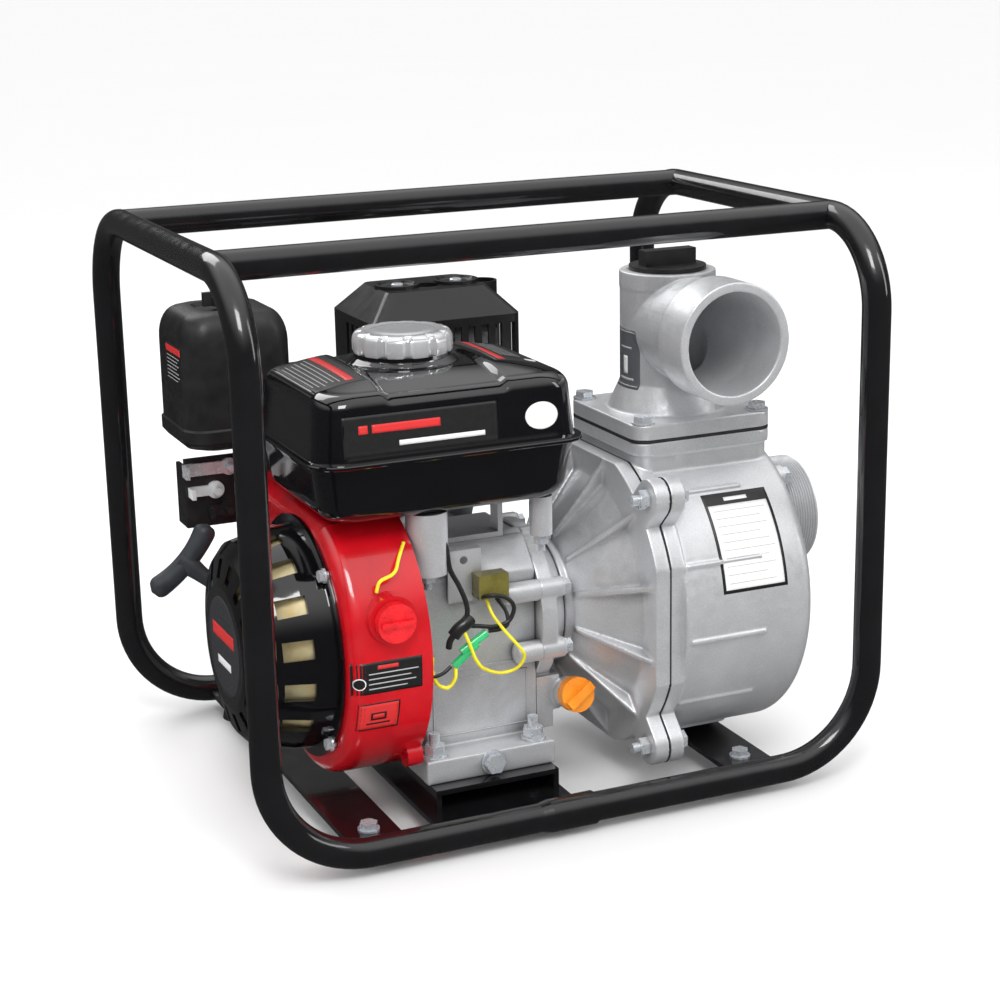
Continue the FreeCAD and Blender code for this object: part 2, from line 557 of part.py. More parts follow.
def make_recoil():
    """The recoil starter: a domed slotted cover, its mesh, pulley, rope and handle."""
    skirt = "fan_x - recoil_x"
    profile = [("0", "0"), ("0", "recoil_face_r"), ("6", "recoil_face_r + 22"), ("14", "recoil_face_r + 31"),
               ("40", "recoil_rim_r - 5"), (skirt + " - 3", "recoil_rim_r - 3"), (skirt + " - 3", "recoil_rim_r + 4"),
               (skirt + " - 0.3", "recoil_rim_r + 4"), (skirt + " - 0.3", "recoil_rim_r - 6"),
               ("40 + recoil_wall", "recoil_rim_r - 5 - recoil_wall"),
               ("14 + recoil_wall", "recoil_face_r + 29 - recoil_wall"),
               ("6 + recoil_wall", "recoil_face_r + 20 - recoil_wall"),
               ("recoil_wall", "recoil_face_r - recoil_wall"), ("recoil_wall", "0")]
    dome = turned(profile, ("recoil_x", "crank_y", "crank_z"))
    slots = []
    for index in range(16):
        angle = 360 * index / 16 + 11
        turn = Rotation(Vector(1, 0, 0), angle)
        face_slot = Part.makeBox(20, 8, 14, Vector(-4, -4, 51))
        skirt_slot = Part.makeBox(22, 14, 40, Vector(21, -7, 66))
        for slot in (face_slot, skirt_slot):
            slot.Placement = Placement(Vector(), turn)
            slots.append(slot)
    cutter = solid(Part.makeCompound(slots), ("recoil_x", "crank_y", "crank_z"))
    guide = cylinder(("recoil_x + 32", "crank_y + 78", "crank_z + 6"), "y", "8", "26")
    guide_way = cylinder(("recoil_x + 32", "crank_y + 60", "crank_z + 6"), "y", "rope_r + 1.2", "60")
    hub = cylinder(("recoil_x + recoil_wall - 0.5", "crank_y", "crank_z"), "x", "7.95", "38")
    bolt_places = [("crank_y + 91 * cos(%d)" % angle, "crank_z + 91 * sin(%d)" % angle)
                   for angle in (45, 135, 225, 315)]
    holes = [cylinder(("fan_x - 4", y, z), "x", "3", "5") for y, z in bolt_places]
    sub_part("recoil_cover", cut(fuse(cut(dome, cutter), guide, hub, refine=False), guide_way, *holes))
    for y, z in bolt_places:
        share("engine_bolts", flange_bolt(("fan_x - 3", y, z), "-x", "2.9", "2.5", "8", "5"))
    ring = [("0", "recoil_face_r - 2"), ("0.8", "recoil_face_r - 2"), ("9.5", "recoil_face_r + 17.5"),
            ("40", "recoil_rim_r - 11"), ("52", "recoil_rim_r - 9"), ("52", "recoil_rim_r - 8.2"),
            ("40", "recoil_rim_r - 10"), ("8.9", "recoil_face_r + 18.5")]
    sub_part("recoil_mesh", turned(ring, ("recoil_x + recoil_wall + 1.2", "crank_y", "crank_z")))
    groove = [("0", "8"), ("0", "pulley_r + 4"), ("2", "pulley_r + 4"), ("3.5", "pulley_r"),
              ("pulley_long - 3.5", "pulley_r"), ("pulley_long - 2", "pulley_r + 4"),
              ("pulley_long", "pulley_r + 4"), ("pulley_long", "8")]
    sub_part("recoil_pulley", turned(groove, ("pulley_x", "crank_y", "crank_z")))


PULL = Vector(-0.66, 0.45, 0.6).normalize()
GRIP = Vector(0.7, 0, 0.714).normalize()
GUIDE_END = Vector(SIZES["recoil_x"] + 32, SIZES["crank_y"] + 104.2, SIZES["crank_z"] + 6)


def make_handle():
    """The starter grip: a rounded bar with a tapered stem towards the rope guide."""
    foot = GUIDE_END + Vector(-4, 12, 9)
    centre = foot + PULL * 24
    bar = Part.makeCylinder(8.5, 50, centre - GRIP * 25, GRIP)
    ends = [Part.makeSphere(8.5, centre + GRIP * side * 25) for side in (-1, 1)]
    stem = Part.makeCone(5.5, 8, 24, foot, PULL)
    shape = bar.multiFuse(ends + [stem]).removeSplitter()
    sub_part("recoil_handle", solid(shape))
    radius = SIZES["rope_r"]
    along = foot - GUIDE_END
    rope = Part.makeCylinder(radius, along.Length - 3, GUIDE_END + along * 0.01, along)
    sub_part("recoil_rope", solid(rope))


def make_rotor():
    """Everything that turns with the crank: shaft, flywheel with fan, starter cup and impeller."""
    shaft = cylinder(("flywheel_x", "crank_y", "crank_z"), "x", "shaft_r", "case_x + 14 - flywheel_x")
    web = cylinder(("case_x + 14", "crank_y", "crank_z"), "x", "36", "16")
    other_web = cylinder(("case_x + 62", "crank_y", "crank_z"), "x", "36", "16")
    pin = cylinder(("case_x + 14", "crank_y", "crank_z + 20"), "x", "13", "60")
    front = cylinder(("case_x + 62", "crank_y", "crank_z"), "x", "shaft_r", "impeller_x - case_x - 62 + 14")
    sub_part("crankshaft", fuse(shaft, web, other_web, pin, front))
    wheel = [("0", "shaft_r"), ("0", "flywheel_r - 8"), ("4", "flywheel_r"), ("flywheel_long", "flywheel_r"),
             ("flywheel_long", "flywheel_r - 12"), ("8", "flywheel_r - 16"), ("8", "shaft_r")]
    disc = turned(wheel, ("flywheel_x", "crank_y", "crank_z"))
    sub_part("flywheel", disc)
    blades = []
    for index in range(16):
        blade = Part.makeBox(12, 2.5, 32, Vector(-12, 0, 34))
        blade.rotate(Vector(0, 0, 50), Vector(1, 0, 0), 20)
        blade.rotate(Vector(), Vector(1, 0, 0), 360 * index / 16)
        blades.append(blade)
    ring = Part.makeCylinder(40, 4, Vector(-4, 0, 0), Vector(1, 0, 0))
    ring = ring.cut(Part.makeCylinder(32, 8, Vector(-6, 0, 0), Vector(1, 0, 0)))
    fan = ring.multiFuse(blades)
    sub_part("cooling_fan", solid(fan, ("flywheel_x", "crank_y", "crank_z")))
    cup = [("0", "8"), ("0", "31"), ("16", "31"), ("16", "29"), ("2", "29"), ("2", "8")]
    sub_part("starter_cup", turned(cup, ("flywheel_x - 16", "crank_y", "crank_z"),))


# ---------------------------------------------------------------- fuel tank
def tank_shell(levels, inset):
    """A smooth shell through rounded rectangles at rising levels, each inset from the full size."""
    wires = []
    for z, narrower, corner in levels:
        edge = narrower + inset
        wires.append(rounded_rectangle(SIZES["tank_x"] + edge, SIZES["tank_y"] + edge, z,
                                       SIZES["tank_wide"] - 2 * edge, SIZES["tank_deep"] - 2 * edge,
                                       max(corner - inset, 4)))
    return Part.makeLoft(wires, True, True)


def make_tank():
    """The fuel tank: two pressed shells with a seam rim, hollow, with a filler neck."""
    wall = SIZES["tank_wall"]
    low = SIZES["tank_low_z"]
    seam = SIZES["seam_z"]
    shoulder = SIZES["tank_shoulder_z"]
    top = SIZES["tank_top_z"]
    under = tank_shell([(low, 16, 24), (low + 8, 8, 28), (seam, 3, 30)], 0)
    over = tank_shell([(seam, 3, 30), (shoulder - 12, 4, 30), (shoulder, 12, 28)], 0)
    crown = tank_shell([(shoulder, 12, 28), (top - 3, 30, 30), (top, 44, 30)], 0)
    rim = tank_shell([(seam - 1.5, 0, 31), (seam + 1.5, 0, 31)], 0)
    hollow = tank_shell([(low + wall, 20, 20), (low + 10, 10, 28), (seam, 3, 30), (shoulder - 12, 4, 30),
                         (shoulder - wall, 12, 28), (top - 3 - wall, 34, 30)], wall)
    x = SIZES["cap_x"]
    y = SIZES["cap_y"]
    neck = Part.makeCylinder(SIZES["neck_r"], 30, Vector(x, y, top - 16))
    bore = Part.makeCylinder(SIZES["neck_bore_r"], 60, Vector(x, y, top - 30))
    whole = under.multiFuse([over, crown, rim, neck]).cut(hollow).cut(bore).removeSplitter()
    sub_part("fuel_tank", solid(whole))


def make_tank_mounts():
    """The tank's spacers with their nuts in front, and its rear bracket on the cylinder head."""
    for x, z, radius, across in (("-94", "196", "15.5", "13"), ("-2", "213", "8.5", "11")):
        at = (x, "-120", z)
        share("tank_spacers", cylinder(at, "z", radius, "tank_low_z - " + z))
        share("engine_bolts", fuse(hexagon(at, "-z", across, "7"), cylinder(at, "-z", "3", "13")))
    strap = fuse(box(("-76", "-90", "case_top_z"), ("56", "14", "4")),
                 box(("-76", "-90", "case_top_z"), ("4", "14", "tank_low_z - case_top_z")),
                 box(("-24", "-90", "case_top_z"), ("4", "14", "tank_low_z - case_top_z")))
    share("brackets", strap)


def make_fuel_cap():
    """The scalloped filler cap, hollow to pass over the neck."""
    top = "tank_top_z"
    at = ("cap_x", "cap_y", top + " + 3")
    disc = cylinder(at, "z", "cap_r", "cap_tall")
    scallops = [cylinder(("cap_x + (cap_r + 5) * cos(%d)" % angle, "cap_y + (cap_r + 5) * sin(%d)" % angle,
                          top), "z", "7.5", "40") for angle in range(0, 360, 30)]
    hollow = cylinder(("cap_x", "cap_y", top), "z", "neck_r + 0.4", "14.4")
    sub_part("fuel_cap", cut(disc, hollow, *scallops))


# ---------------------------------------------------------------- carburettor side
def make_air_cleaner():
    """The air cleaner: base, lifting cover, wing knob and the filter element inside."""
    x = SIZES["cleaner_x"]
    y = SIZES["cleaner_y"]
    wide = SIZES["cleaner_wide"]
    deep = SIZES["cleaner_deep"]
    low = SIZES["cleaner_z"]
    top = SIZES["cleaner_top_z"]

    def slab(z_list, inset):
        wires = [rounded_rectangle(x + narrower + inset, y + narrower + inset, z, wide - 2 * (narrower + inset),
                                   deep - 2 * (narrower + inset), 16) for z, narrower in z_list]
        return Part.makeLoft(wires, True, True)

    base = slab([(low - 8, 14), (low - 4, 4), (low, 1)], 0)
    middle_x = x + wide / 2
    middle_y = y + deep / 2
    post = Part.makeCylinder(3, top - low + 4, Vector(middle_x, middle_y, low - 2))
    elbow = Part.makeBox(46, 40, low - 196, Vector(x + 50, y + 10, 190))
    elbow = elbow.makeFillet(6, [edge for edge in elbow.Edges if abs(edge.tangentAt(0).z) > 0.9])
    passage = Part.makeCylinder(11, 60, Vector(x + 70, y + 30, low - 52))
    sub_part("air_cleaner_base", solid(base.multiFuse([elbow, post]).cut(passage).removeSplitter()))
    cover = slab([(low + 0.3, 0), (top - 18, 0), (top, 12)], 0)
    inner = slab([(low - 1, 0), (top - 19, 0), (top - 3, 12)], 2.5)
    hole = Part.makeCylinder(3.3, 20, Vector(middle_x, middle_y, top - 10))
    sub_part("air_cleaner_cover", solid(cover.cut(inner).cut(hole)))
    element = slab([(low + 0.2, 8), (top - 26, 8)], 0)
    core = slab([(low - 1, 22), (top - 20, 22)], 0)
    sub_part("air_filter", solid(element.cut(core)))
    knob = Part.makeCylinder(9, 7, Vector(middle_x, middle_y, top + 0.3))
    wing = Part.makeBox(30, 5, 11, Vector(middle_x - 15, middle_y - 2.5, top + 0.3))
    socket = Part.makeCylinder(3.05, 6.5, Vector(middle_x, middle_y, top - 2))
    sub_part("cleaner_knob", solid(knob.fuse(wing).cut(socket)))


def make_carburettor():
    """The carburettor with its bowl, the control plate and three small levers."""
    body = fuse(box(("-160", "78", "176"), ("44", "36", "14")), box(("-150", "82", "160"), ("26", "30", "20")),
                cylinder(("-137", "97", "160"), "-z", "19", "26"))
    sub_part("carburettor", fuse(body, cylinder(("-118", "97", "183"), "x", "13", "16")))
    plate = fuse(box(("-214", "96", "190"), ("48", "3", "57")), box(("-214", "99", "190"), ("3", "22", "50")))
    levers = (("choke_lever", ("-178", "98.9", "238"), "-38", "10"),
              ("throttle_lever", ("-190", "98.9", "220"), "-22", "8"),
              ("fuel_lever", ("-181", "98.9", "203"), "-16", "9"))
    ways = [cylinder((at[0], "100", at[2]), "-y", "3.05", "20") for label, at, reach, tall in levers]
    sub_part("control_plate", cut(plate, *ways))
    for label, at, reach, tall in levers:
        pivot = cylinder(at, "-y", "3", "14")
        eye = cylinder(offset(at, "-y", "3.4"), "-y", "7", "3")
        arm = box(offset(offset(offset(at, "-y", "6.4"), "x", reach), "-z", tall + " / 2"),
                  ("-(%s)" % reach, "3", tall))
        grip = box(offset(offset(offset(at, "-y", "16"), "x", reach), "-z", tall + " / 2"), ("3", "12.6", tall))
        sub_part(label, fuse(pivot, eye, arm, grip))


def make_muffler():
    """The muffler can and its louvred guard with two deep screw recesses."""
    x = SIZES["muffler_x"]
    y = SIZES["muffler_y"]
    wide = SIZES["muffler_wide"]
    deep = SIZES["muffler_deep"]
    low = SIZES["muffler_z"]
    top = SIZES["muffler_top_z"]
    levels = [(low, 0), (top - 22, 0), (top, 20)]

    def block(inset, floor):
        wires = [rounded_rectangle(x + narrower + inset, y + narrower + inset, z - (inset if z > low else floor),
                                   wide - 2 * (narrower + inset), deep - 2 * (narrower + inset), 9)
                 for z, narrower in levels]
        return Part.makeLoft(wires, True, True)

    guard = block(0, 0).cut(block(2.5, 1))
    slots = []
    for index in range(9):
        slots.append(Part.makeBox(6, 12, 40, Vector(x + 44 + index * 12, y - 6, low + 22)))
    for index in range(5):
        slots.append(Part.makeBox(12, 6, 40, Vector(x - 6, y + 16 + index * 12, low + 22)))
        slots.append(Part.makeBox(12, 6, 40, Vector(x + wide - 6, y + 16 + index * 12, low + 22)))
    guard = guard.cut(Part.makeCompound(slots))
    cups = []
    for cup_x in (x + 62, x + 112):
        outer = Part.makeCylinder(13, 12, Vector(cup_x, y + 46, top - 12))
        cups.append((outer, Part.makeCylinder(11, 10.5, Vector(cup_x, y + 46, top - 10))))
    for outer, inner in cups:
        guard = guard.fuse(outer).cut(inner)
    sub_part("muffler_guard", solid(guard.removeSplitter()))
    can = Part.makeBox(wide - 24, deep - 26, top - low - 34, Vector(x + 12, y + 13, low + 4))
    can = can.makeFillet(12, can.Edges)
    outlet = Part.makeCylinder(9, 22, Vector(x + 40, y + 40, low + 6), Vector(0, 0, -1))
    sub_part("muffler", solid(can.fuse(outlet)))


# ---------------------------------------------------------------- wiring
def make_wiring():
    """The leads of the stop switch and the oil alert, with their bullet connectors and unit."""
    yellow = [Vector(-147, -154, 198), Vector(-145, -154, 206), Vector(-131, -151, 209),
              Vector(-126, -145, 218), Vector(-118, -135, 226)]
    share("yellow_leads", solid(hose(yellow, 1.3)))
    plate = fuse(box(("-77", "-117", "168"), ("27", "2", "40")), box(("-77", "-117", "206"), ("27", "8", "2")))
    share("brackets", cut(plate, cylinder(("-64", "-112", "200"), "-y", "3.1", "20")))
    unit = box(("-58", "-131", "172"), ("24", "13.5", "18"))
    sub_part("alert_unit", unit)
    loop = [Vector(-50, -125, 170.4), Vector(-49, -133, 160), Vector(-42, -141, 148), Vector(-32, -142, 136),
            Vector(-24, -138, 126), Vector(-28, -132, 114), Vector(-42, -131, 112), Vector(-55, -134, 118)]
    share("yellow_leads", solid(hose(loop, 1.3)))
    dark = [Vector(-42, -125, 170.2), Vector(-36, -131, 160), Vector(-37, -136, 151), Vector(-45, -137, 149),
            Vector(-53.4, -136, 149)]
    sub_part("black_lead", solid(hose(dark, 1.5)))
    for x, z, angle in ((-76, 136, 30), (-82, 126, 38)):
        along = Vector(math.cos(math.radians(angle)), 0, math.sin(math.radians(angle)))
        share("bullet_sleeves", solid(Part.makeCylinder(3.2, 24, Vector(x, -136, z), along)))


# ---------------------------------------------------------------- pump
def lobed_plate(x, thick, bore_r):
    """A round-cornered flange plate with four bolt lobes."""
    half = SIZES["flange_half"]
    reach = SIZES["flange_bolt"]
    y = SIZES["crank_y"]
    z = SIZES["crank_z"]
    axis = Vector(1, 0, 0)
    centre = Vector(x, y, z)
    disc = Part.makeCylinder(half + 15, thick, centre, axis)
    for sign_y in (-1, 1):
        for sign_z in (-1, 1):
            lobe = Part.makeCylinder(15, thick, Vector(x, y + sign_y * reach, z + sign_z * reach), axis)
            arm = Part.makeBox(thick, 60, 30, Vector(0, -60, -15))
            arm.Placement = Placement(Vector(x, y + sign_y * reach, z + sign_z * reach),
                                      Rotation(axis, {(1, 1): 45, (-1, 1): 135, (-1, -1): 225,
                                                      (1, -1): 315}[(sign_y, sign_z)]))
            disc = disc.fuse(lobe).fuse(arm)
    square = Part.makeBox(thick, 2 * half + 12, 2 * half + 12, Vector(x, y - half - 6, z - half - 6))
    square = square.makeFillet(14, [edge for edge in square.Edges if abs(edge.tangentAt(0).x) > 0.9])
    bore = Part.makeCylinder(bore_r, thick + 2, Vector(x - 1, y, z), axis)
    return disc.common(square).cut(bore).removeSplitter()


def flange_bolt_places():
    """The four corner bolts of the pump flange."""
    return [("crank_y %s flange_bolt" % sign_y, "crank_z %s flange_bolt" % sign_z)
            for sign_y in ("-", "+") for sign_z in ("-", "+")]


def make_pump_bracket():
    """The ribbed cone between the engine and the pump, with its flange plate."""
    x = SIZES["cover_x"] + SIZES["cover_thick"]
    y = SIZES["crank_y"]
    z = SIZES["crank_z"]
    far = SIZES["flange_x"]
    thick = SIZES["flange_thick"]
    axis = Vector(1, 0, 0)
    start = x + 7
    plate = lobed_plate(far, thick, 40)
    shell = Part.makeCone(52, 96, far - start, Vector(start, y, z), axis)
    hub = Part.makeCylinder(50, 7.3, Vector(x + 0.2, y, z), axis)
    inner = Part.makeCone(44, 86, far - start - 6, Vector(start + 0.2, y, z), axis)
    ribs = []
    for index in range(12):
        rib = Part.makePolygon([Vector(0, 0, 48), Vector(far - start, 0, 92), Vector(far - start, 0, 116),
                                Vector(0, 0, 56), Vector(0, 0, 48)])
        rib = Part.Face(rib).extrude(Vector(0, 4, 0))
        rib.translate(Vector(0, -2, 0))
        rib.Placement = Placement(Vector(start, y, z), Rotation(axis, 30 * index + 15))
        ribs.append(rib)
    whole = plate.multiFuse([shell, hub] + ribs)
    square = Part.makeBox(far + thick - x + 2, 2 * SIZES["flange_half"] + 12, 2 * SIZES["flange_half"] + 12,
                          Vector(x, y - SIZES["flange_half"] - 6, z - SIZES["flange_half"] - 6))
    whole = whole.common(square)
    shaft_way = Part.makeCylinder(18, 200, Vector(x - 5, y, z), axis)
    bolt_ways = [Part.makeCylinder(4.6, 40, Vector(far - 10, y + sy * SIZES["flange_bolt"],
                                                   z + sz * SIZES["flange_bolt"]), axis)
                 for sy in (-1, 1) for sz in (-1, 1)]
    dark = Part.makeCompound([inner, shaft_way] + bolt_ways)
    whole = whole.cut(dark)
    tank_clear = Part.makeBox(80, 300, 80, Vector(x - 2, -160, SIZES["tank_low_z"] - 6))
    whole = whole.cut(tank_clear.common(Part.makeBox(18, 300, 80, Vector(x - 2, -160, SIZES["tank_low_z"] - 6))))
    sub_part("pump_bracket", solid(whole.removeSplitter()))


def make_casing():
    """The pump casing: a drum with a flange, a neck box on top and an end wall with the suction hole."""
    x = SIZES["casing_x"]
    y = SIZES["crank_y"]
    z = SIZES["crank_z"]
    end = SIZES["casing_end_x"]
    radius = SIZES["casing_r"]
    wall = SIZES["casing_wall"]
    axis = Vector(1, 0, 0)
    flange_x = SIZES["flange_x"] + SIZES["flange_thick"] + 1
    drum = Part.makeCylinder(radius, end - x + 2, Vector(x - 2, y, z), axis)
    drum = drum.makeFillet(10, [edge for edge in drum.Edges if edge.BoundBox.XMin > end - 1])
    plate = lobed_plate(flange_x, SIZES["flange_thick"], 60)
    neck_wide = SIZES["neck_wide"]
    neck_top = SIZES["neck_top_z"]
    neck = Part.makeBox(neck_wide, neck_wide, neck_top - z, Vector(SIZES["neck_x"], y - neck_wide / 2, z))
    neck = neck.makeFillet(12, [edge for edge in neck.Edges if abs(edge.tangentAt(0).z) > 0.9])
    collar = Part.makeBox(neck_wide + 4, neck_wide + 4, 10, Vector(SIZES["neck_x"] - 2, y - neck_wide / 2 - 2,
                                                                   neck_top - 10))
    collar = collar.makeFillet(13, [edge for edge in collar.Edges if abs(edge.tangentAt(0).z) > 0.9])
    ribs = []
    for angle in (96, 68, 40, 12, -16, 124, 152, 180, 208):
        rib = Part.makeBox(end - x - 46, 3, 3, Vector(2, -1.5, radius - 1))
        rib.Placement = Placement(Vector(x, y, z), Rotation(axis, angle))
        ribs.append(rib)
    cavity = Part.makeCylinder(radius - wall, end - x - wall, Vector(x, y, z), axis)
    mouth = Part.makeCylinder(SIZES["mouth_r"], x - flange_x + 2, Vector(flange_x - 1, y, z), axis)
    throat = Part.makeBox(neck_wide - 30, neck_wide - 30, neck_top - z + 1,
                          Vector(SIZES["neck_x"] + 22, y - neck_wide / 2 + 15, z))
    throat = throat.makeFillet(10, [edge for edge in throat.Edges if abs(edge.tangentAt(0).z) > 0.9])
    suction = Part.makeCylinder(SIZES["suction_bore_r"], 60, Vector(end - 30, y, SIZES["suction_z"]), axis)
    bolt_ways = [Part.makeCylinder(4.6, 40, Vector(flange_x - 10, y + sy * SIZES["flange_bolt"],
                                                   z + sz * SIZES["flange_bolt"]), axis)
                 for sy in (-1, 1) for sz in (-1, 1)]
    drain = Part.makeCylinder(8.05, 40, Vector(end - 20, y, z - radius - 8), Vector(0, 0, 1))
    whole = drum.multiFuse([plate, neck, collar] + ribs)
    whole = whole.cut(Part.makeCompound([cavity, suction])).cut(mouth).cut(throat)
    whole = whole.cut(Part.makeCompound(bolt_ways)).cut(drain).removeSplitter()
    sub_part("pump_casing", solid(whole))
    plug = Part.makeCylinder(8, 12, Vector(end - 20, y, z - radius - 2), Vector(0, 0, 1))
    head = Part.makeBox(11, 11, 9, Vector(end - 25.5, y - 5.5, z - radius - 10))
    share("pump_bolts", solid(plug.fuse(head)))
    ring = lobed_plate(SIZES["flange_x"] + SIZES["flange_thick"], 1, 61)
    holes = [Part.makeCylinder(4.6, 10, Vector(flange_x - 5, y + sy * SIZES["flange_bolt"],
                                               z + sz * SIZES["flange_bolt"]), axis)
             for sy in (-1, 1) for sz in (-1, 1)]
    share("pump_gaskets", solid(ring.cut(Part.makeCompound(holes))))
    seat = "flange_x + 2 * flange_thick + 1"
    for place_y, place_z in flange_bolt_places():
        bolt = flange_bolt((seat, place_y, place_z), "x", "4", "38", "13", "7")
        share("pump_bolts", fuse(bolt, hexagon(("flange_x - 0.05", place_y, place_z), "-x", "13", "7")))


def make_volute():
    """The spiral volute inside the casing, the impeller and the shaft seal."""
    y = SIZES["crank_y"]
    z = SIZES["crank_z"]
    axis = Vector(1, 0, 0)
    x = SIZES["flange_x"] + SIZES["flange_thick"] + 14
    shell = Part.makeCylinder(88, 61, Vector(x - 13, y, z), axis)
    spout = Part.makeBox(40, 46, 96, Vector(x + 4, y - 80, z))
    eye = Part.makeCylinder(30, 90, Vector(x - 20, y, z), axis)
    cavity = Part.makeCylinder(80, 40, Vector(x + 4, y, z), axis)
    spout_way = Part.makeBox(32, 34, 120, Vector(x + 8, y - 74, z))
    clear = Part.makeCylinder(SIZES["casing_r"] - SIZES["casing_wall"] - 0.4, 60, Vector(x, y, z), axis)
    whole = shell.fuse(spout).common(clear).cut(cavity).cut(spout_way).cut(eye)
    sub_part("volute", solid(whole.removeSplitter()))
    hub = Part.makeCylinder(20, 26, Vector(0, 0, 0), axis)
    back = Part.makeCylinder(SIZES["impeller_r"], 4, Vector(0, 0, 0), axis)
    vanes = []
    for index in range(4):
        outer = Part.makeCylinder(46, 20, Vector(2, 26, 20), axis)
        inner = Part.makeCylinder(41, 22, Vector(1, 26, 20), axis)
        vane = outer.cut(inner).common(Part.makeCylinder(SIZES["impeller_r"], 20, Vector(2, 0, 0), axis))
        vane = vane.cut(Part.makeBox(60, 200, 200, Vector(-10, -100, -200)))
        vane.rotate(Vector(), axis, 90 * index)
        vanes.append(vane)
    bore = Part.makeCylinder(SIZES["shaft_r"], 40, Vector(-5, 0, 0), axis)
    wheel = hub.multiFuse([back] + vanes).cut(bore)
    sub_part("impeller", solid(wheel, ("impeller_x", "crank_y", "crank_z")))
    seal = [("0", "shaft_r + 0.1"), ("0", "39.9"), ("6", "39.9"), ("6", "24"), ("14", "20"), ("14", "shaft_r + 0.1")]
    sub_part("shaft_seal", turned(seal, ("flange_x + 4", "crank_y", "crank_z")))


def make_suction():
    """The threaded suction port on its flange, its gasket, bolts and the check valve flap."""
    end = SIZES["casing_end_x"]
    y = SIZES["crank_y"]
    z = SIZES["suction_z"]
    axis = Vector(1, 0, 0)
    last = SIZES["suction_end_x"]
    bore_r = SIZES["suction_bore_r"]
    reach = 40
    corners = [(sy * reach, sz * reach) for sy in (-1, 1) for sz in (-1, 1)]

    def pad(x, thick):
        disc = Part.makeCylinder(50, thick, Vector(x, y, z), axis)
        ears = [Part.makeCylinder(10, thick, Vector(x, y + dy, z + dz), axis) for dy, dz in corners]
        return disc.multiFuse(ears).cut(Part.makeCylinder(bore_r, thick + 2, Vector(x - 1, y, z), axis))

    holes = Part.makeCompound([Part.makeCylinder(4.1, 80, Vector(end - 6, y + dy, z + dz), axis)
                               for dy, dz in corners])
    share("pump_gaskets", solid(pad(end, 2).cut(holes)))
    port = Part.makeCylinder(SIZES["suction_r"] - 1.2, last - end - 4, Vector(end + 4, y, z), axis)
    threads = [Part.makeCone(SIZES["suction_r"] - 1.3, SIZES["suction_r"], 1.1, Vector(at, y, z), axis)
               for at in [last - 3 - 2.3 * turn for turn in range(10)]]
    port = port.multiFuse(threads).cut(Part.makeCylinder(bore_r, 80, Vector(end, y, z), axis))
    sub_part("suction_port", solid(pad(end + 2, 12).cut(holes).fuse(port).removeSplitter()))
    seat = "casing_end_x + 14"
    for dy, dz in corners:
        share("pump_bolts", flange_bolt((seat, "crank_y + %d" % dy, "suction_z + %d" % dz), "x", "4", "14",
                                        "13", "7"))
    inside = end - SIZES["casing_wall"]
    flap = Part.makeCylinder(bore_r + 4, 3, Vector(inside - 3.4, y, z), axis)
    weight = Part.makeCylinder(28, 3, Vector(inside - 6.4, y, z), axis)
    tab = Part.makeBox(3, 24, 12, Vector(inside - 3.4, y - 12, z + bore_r - 2))
    eye = Part.makeCylinder(4, 24, Vector(inside - 5, y - 12, z + bore_r + 9), Vector(0, 1, 0))
    pin_way = Part.makeCylinder(2.05, 40, Vector(inside - 5, y - 20, z + bore_r + 9), Vector(0, 1, 0))
    sub_part("check_flap", solid(flap.multiFuse([weight, tab, eye]).cut(pin_way).removeSplitter()))
    pin = Part.makeCylinder(2, 34, Vector(inside - 5, y - 17, z + bore_r + 9), Vector(0, 1, 0))
    ears = [Part.makeBox(10, 4, 10, Vector(inside - 10, y + side, z + bore_r + 4)) for side in (-17, 13)]
    sub_part("flap_hinge", solid(pin.multiFuse(ears)))


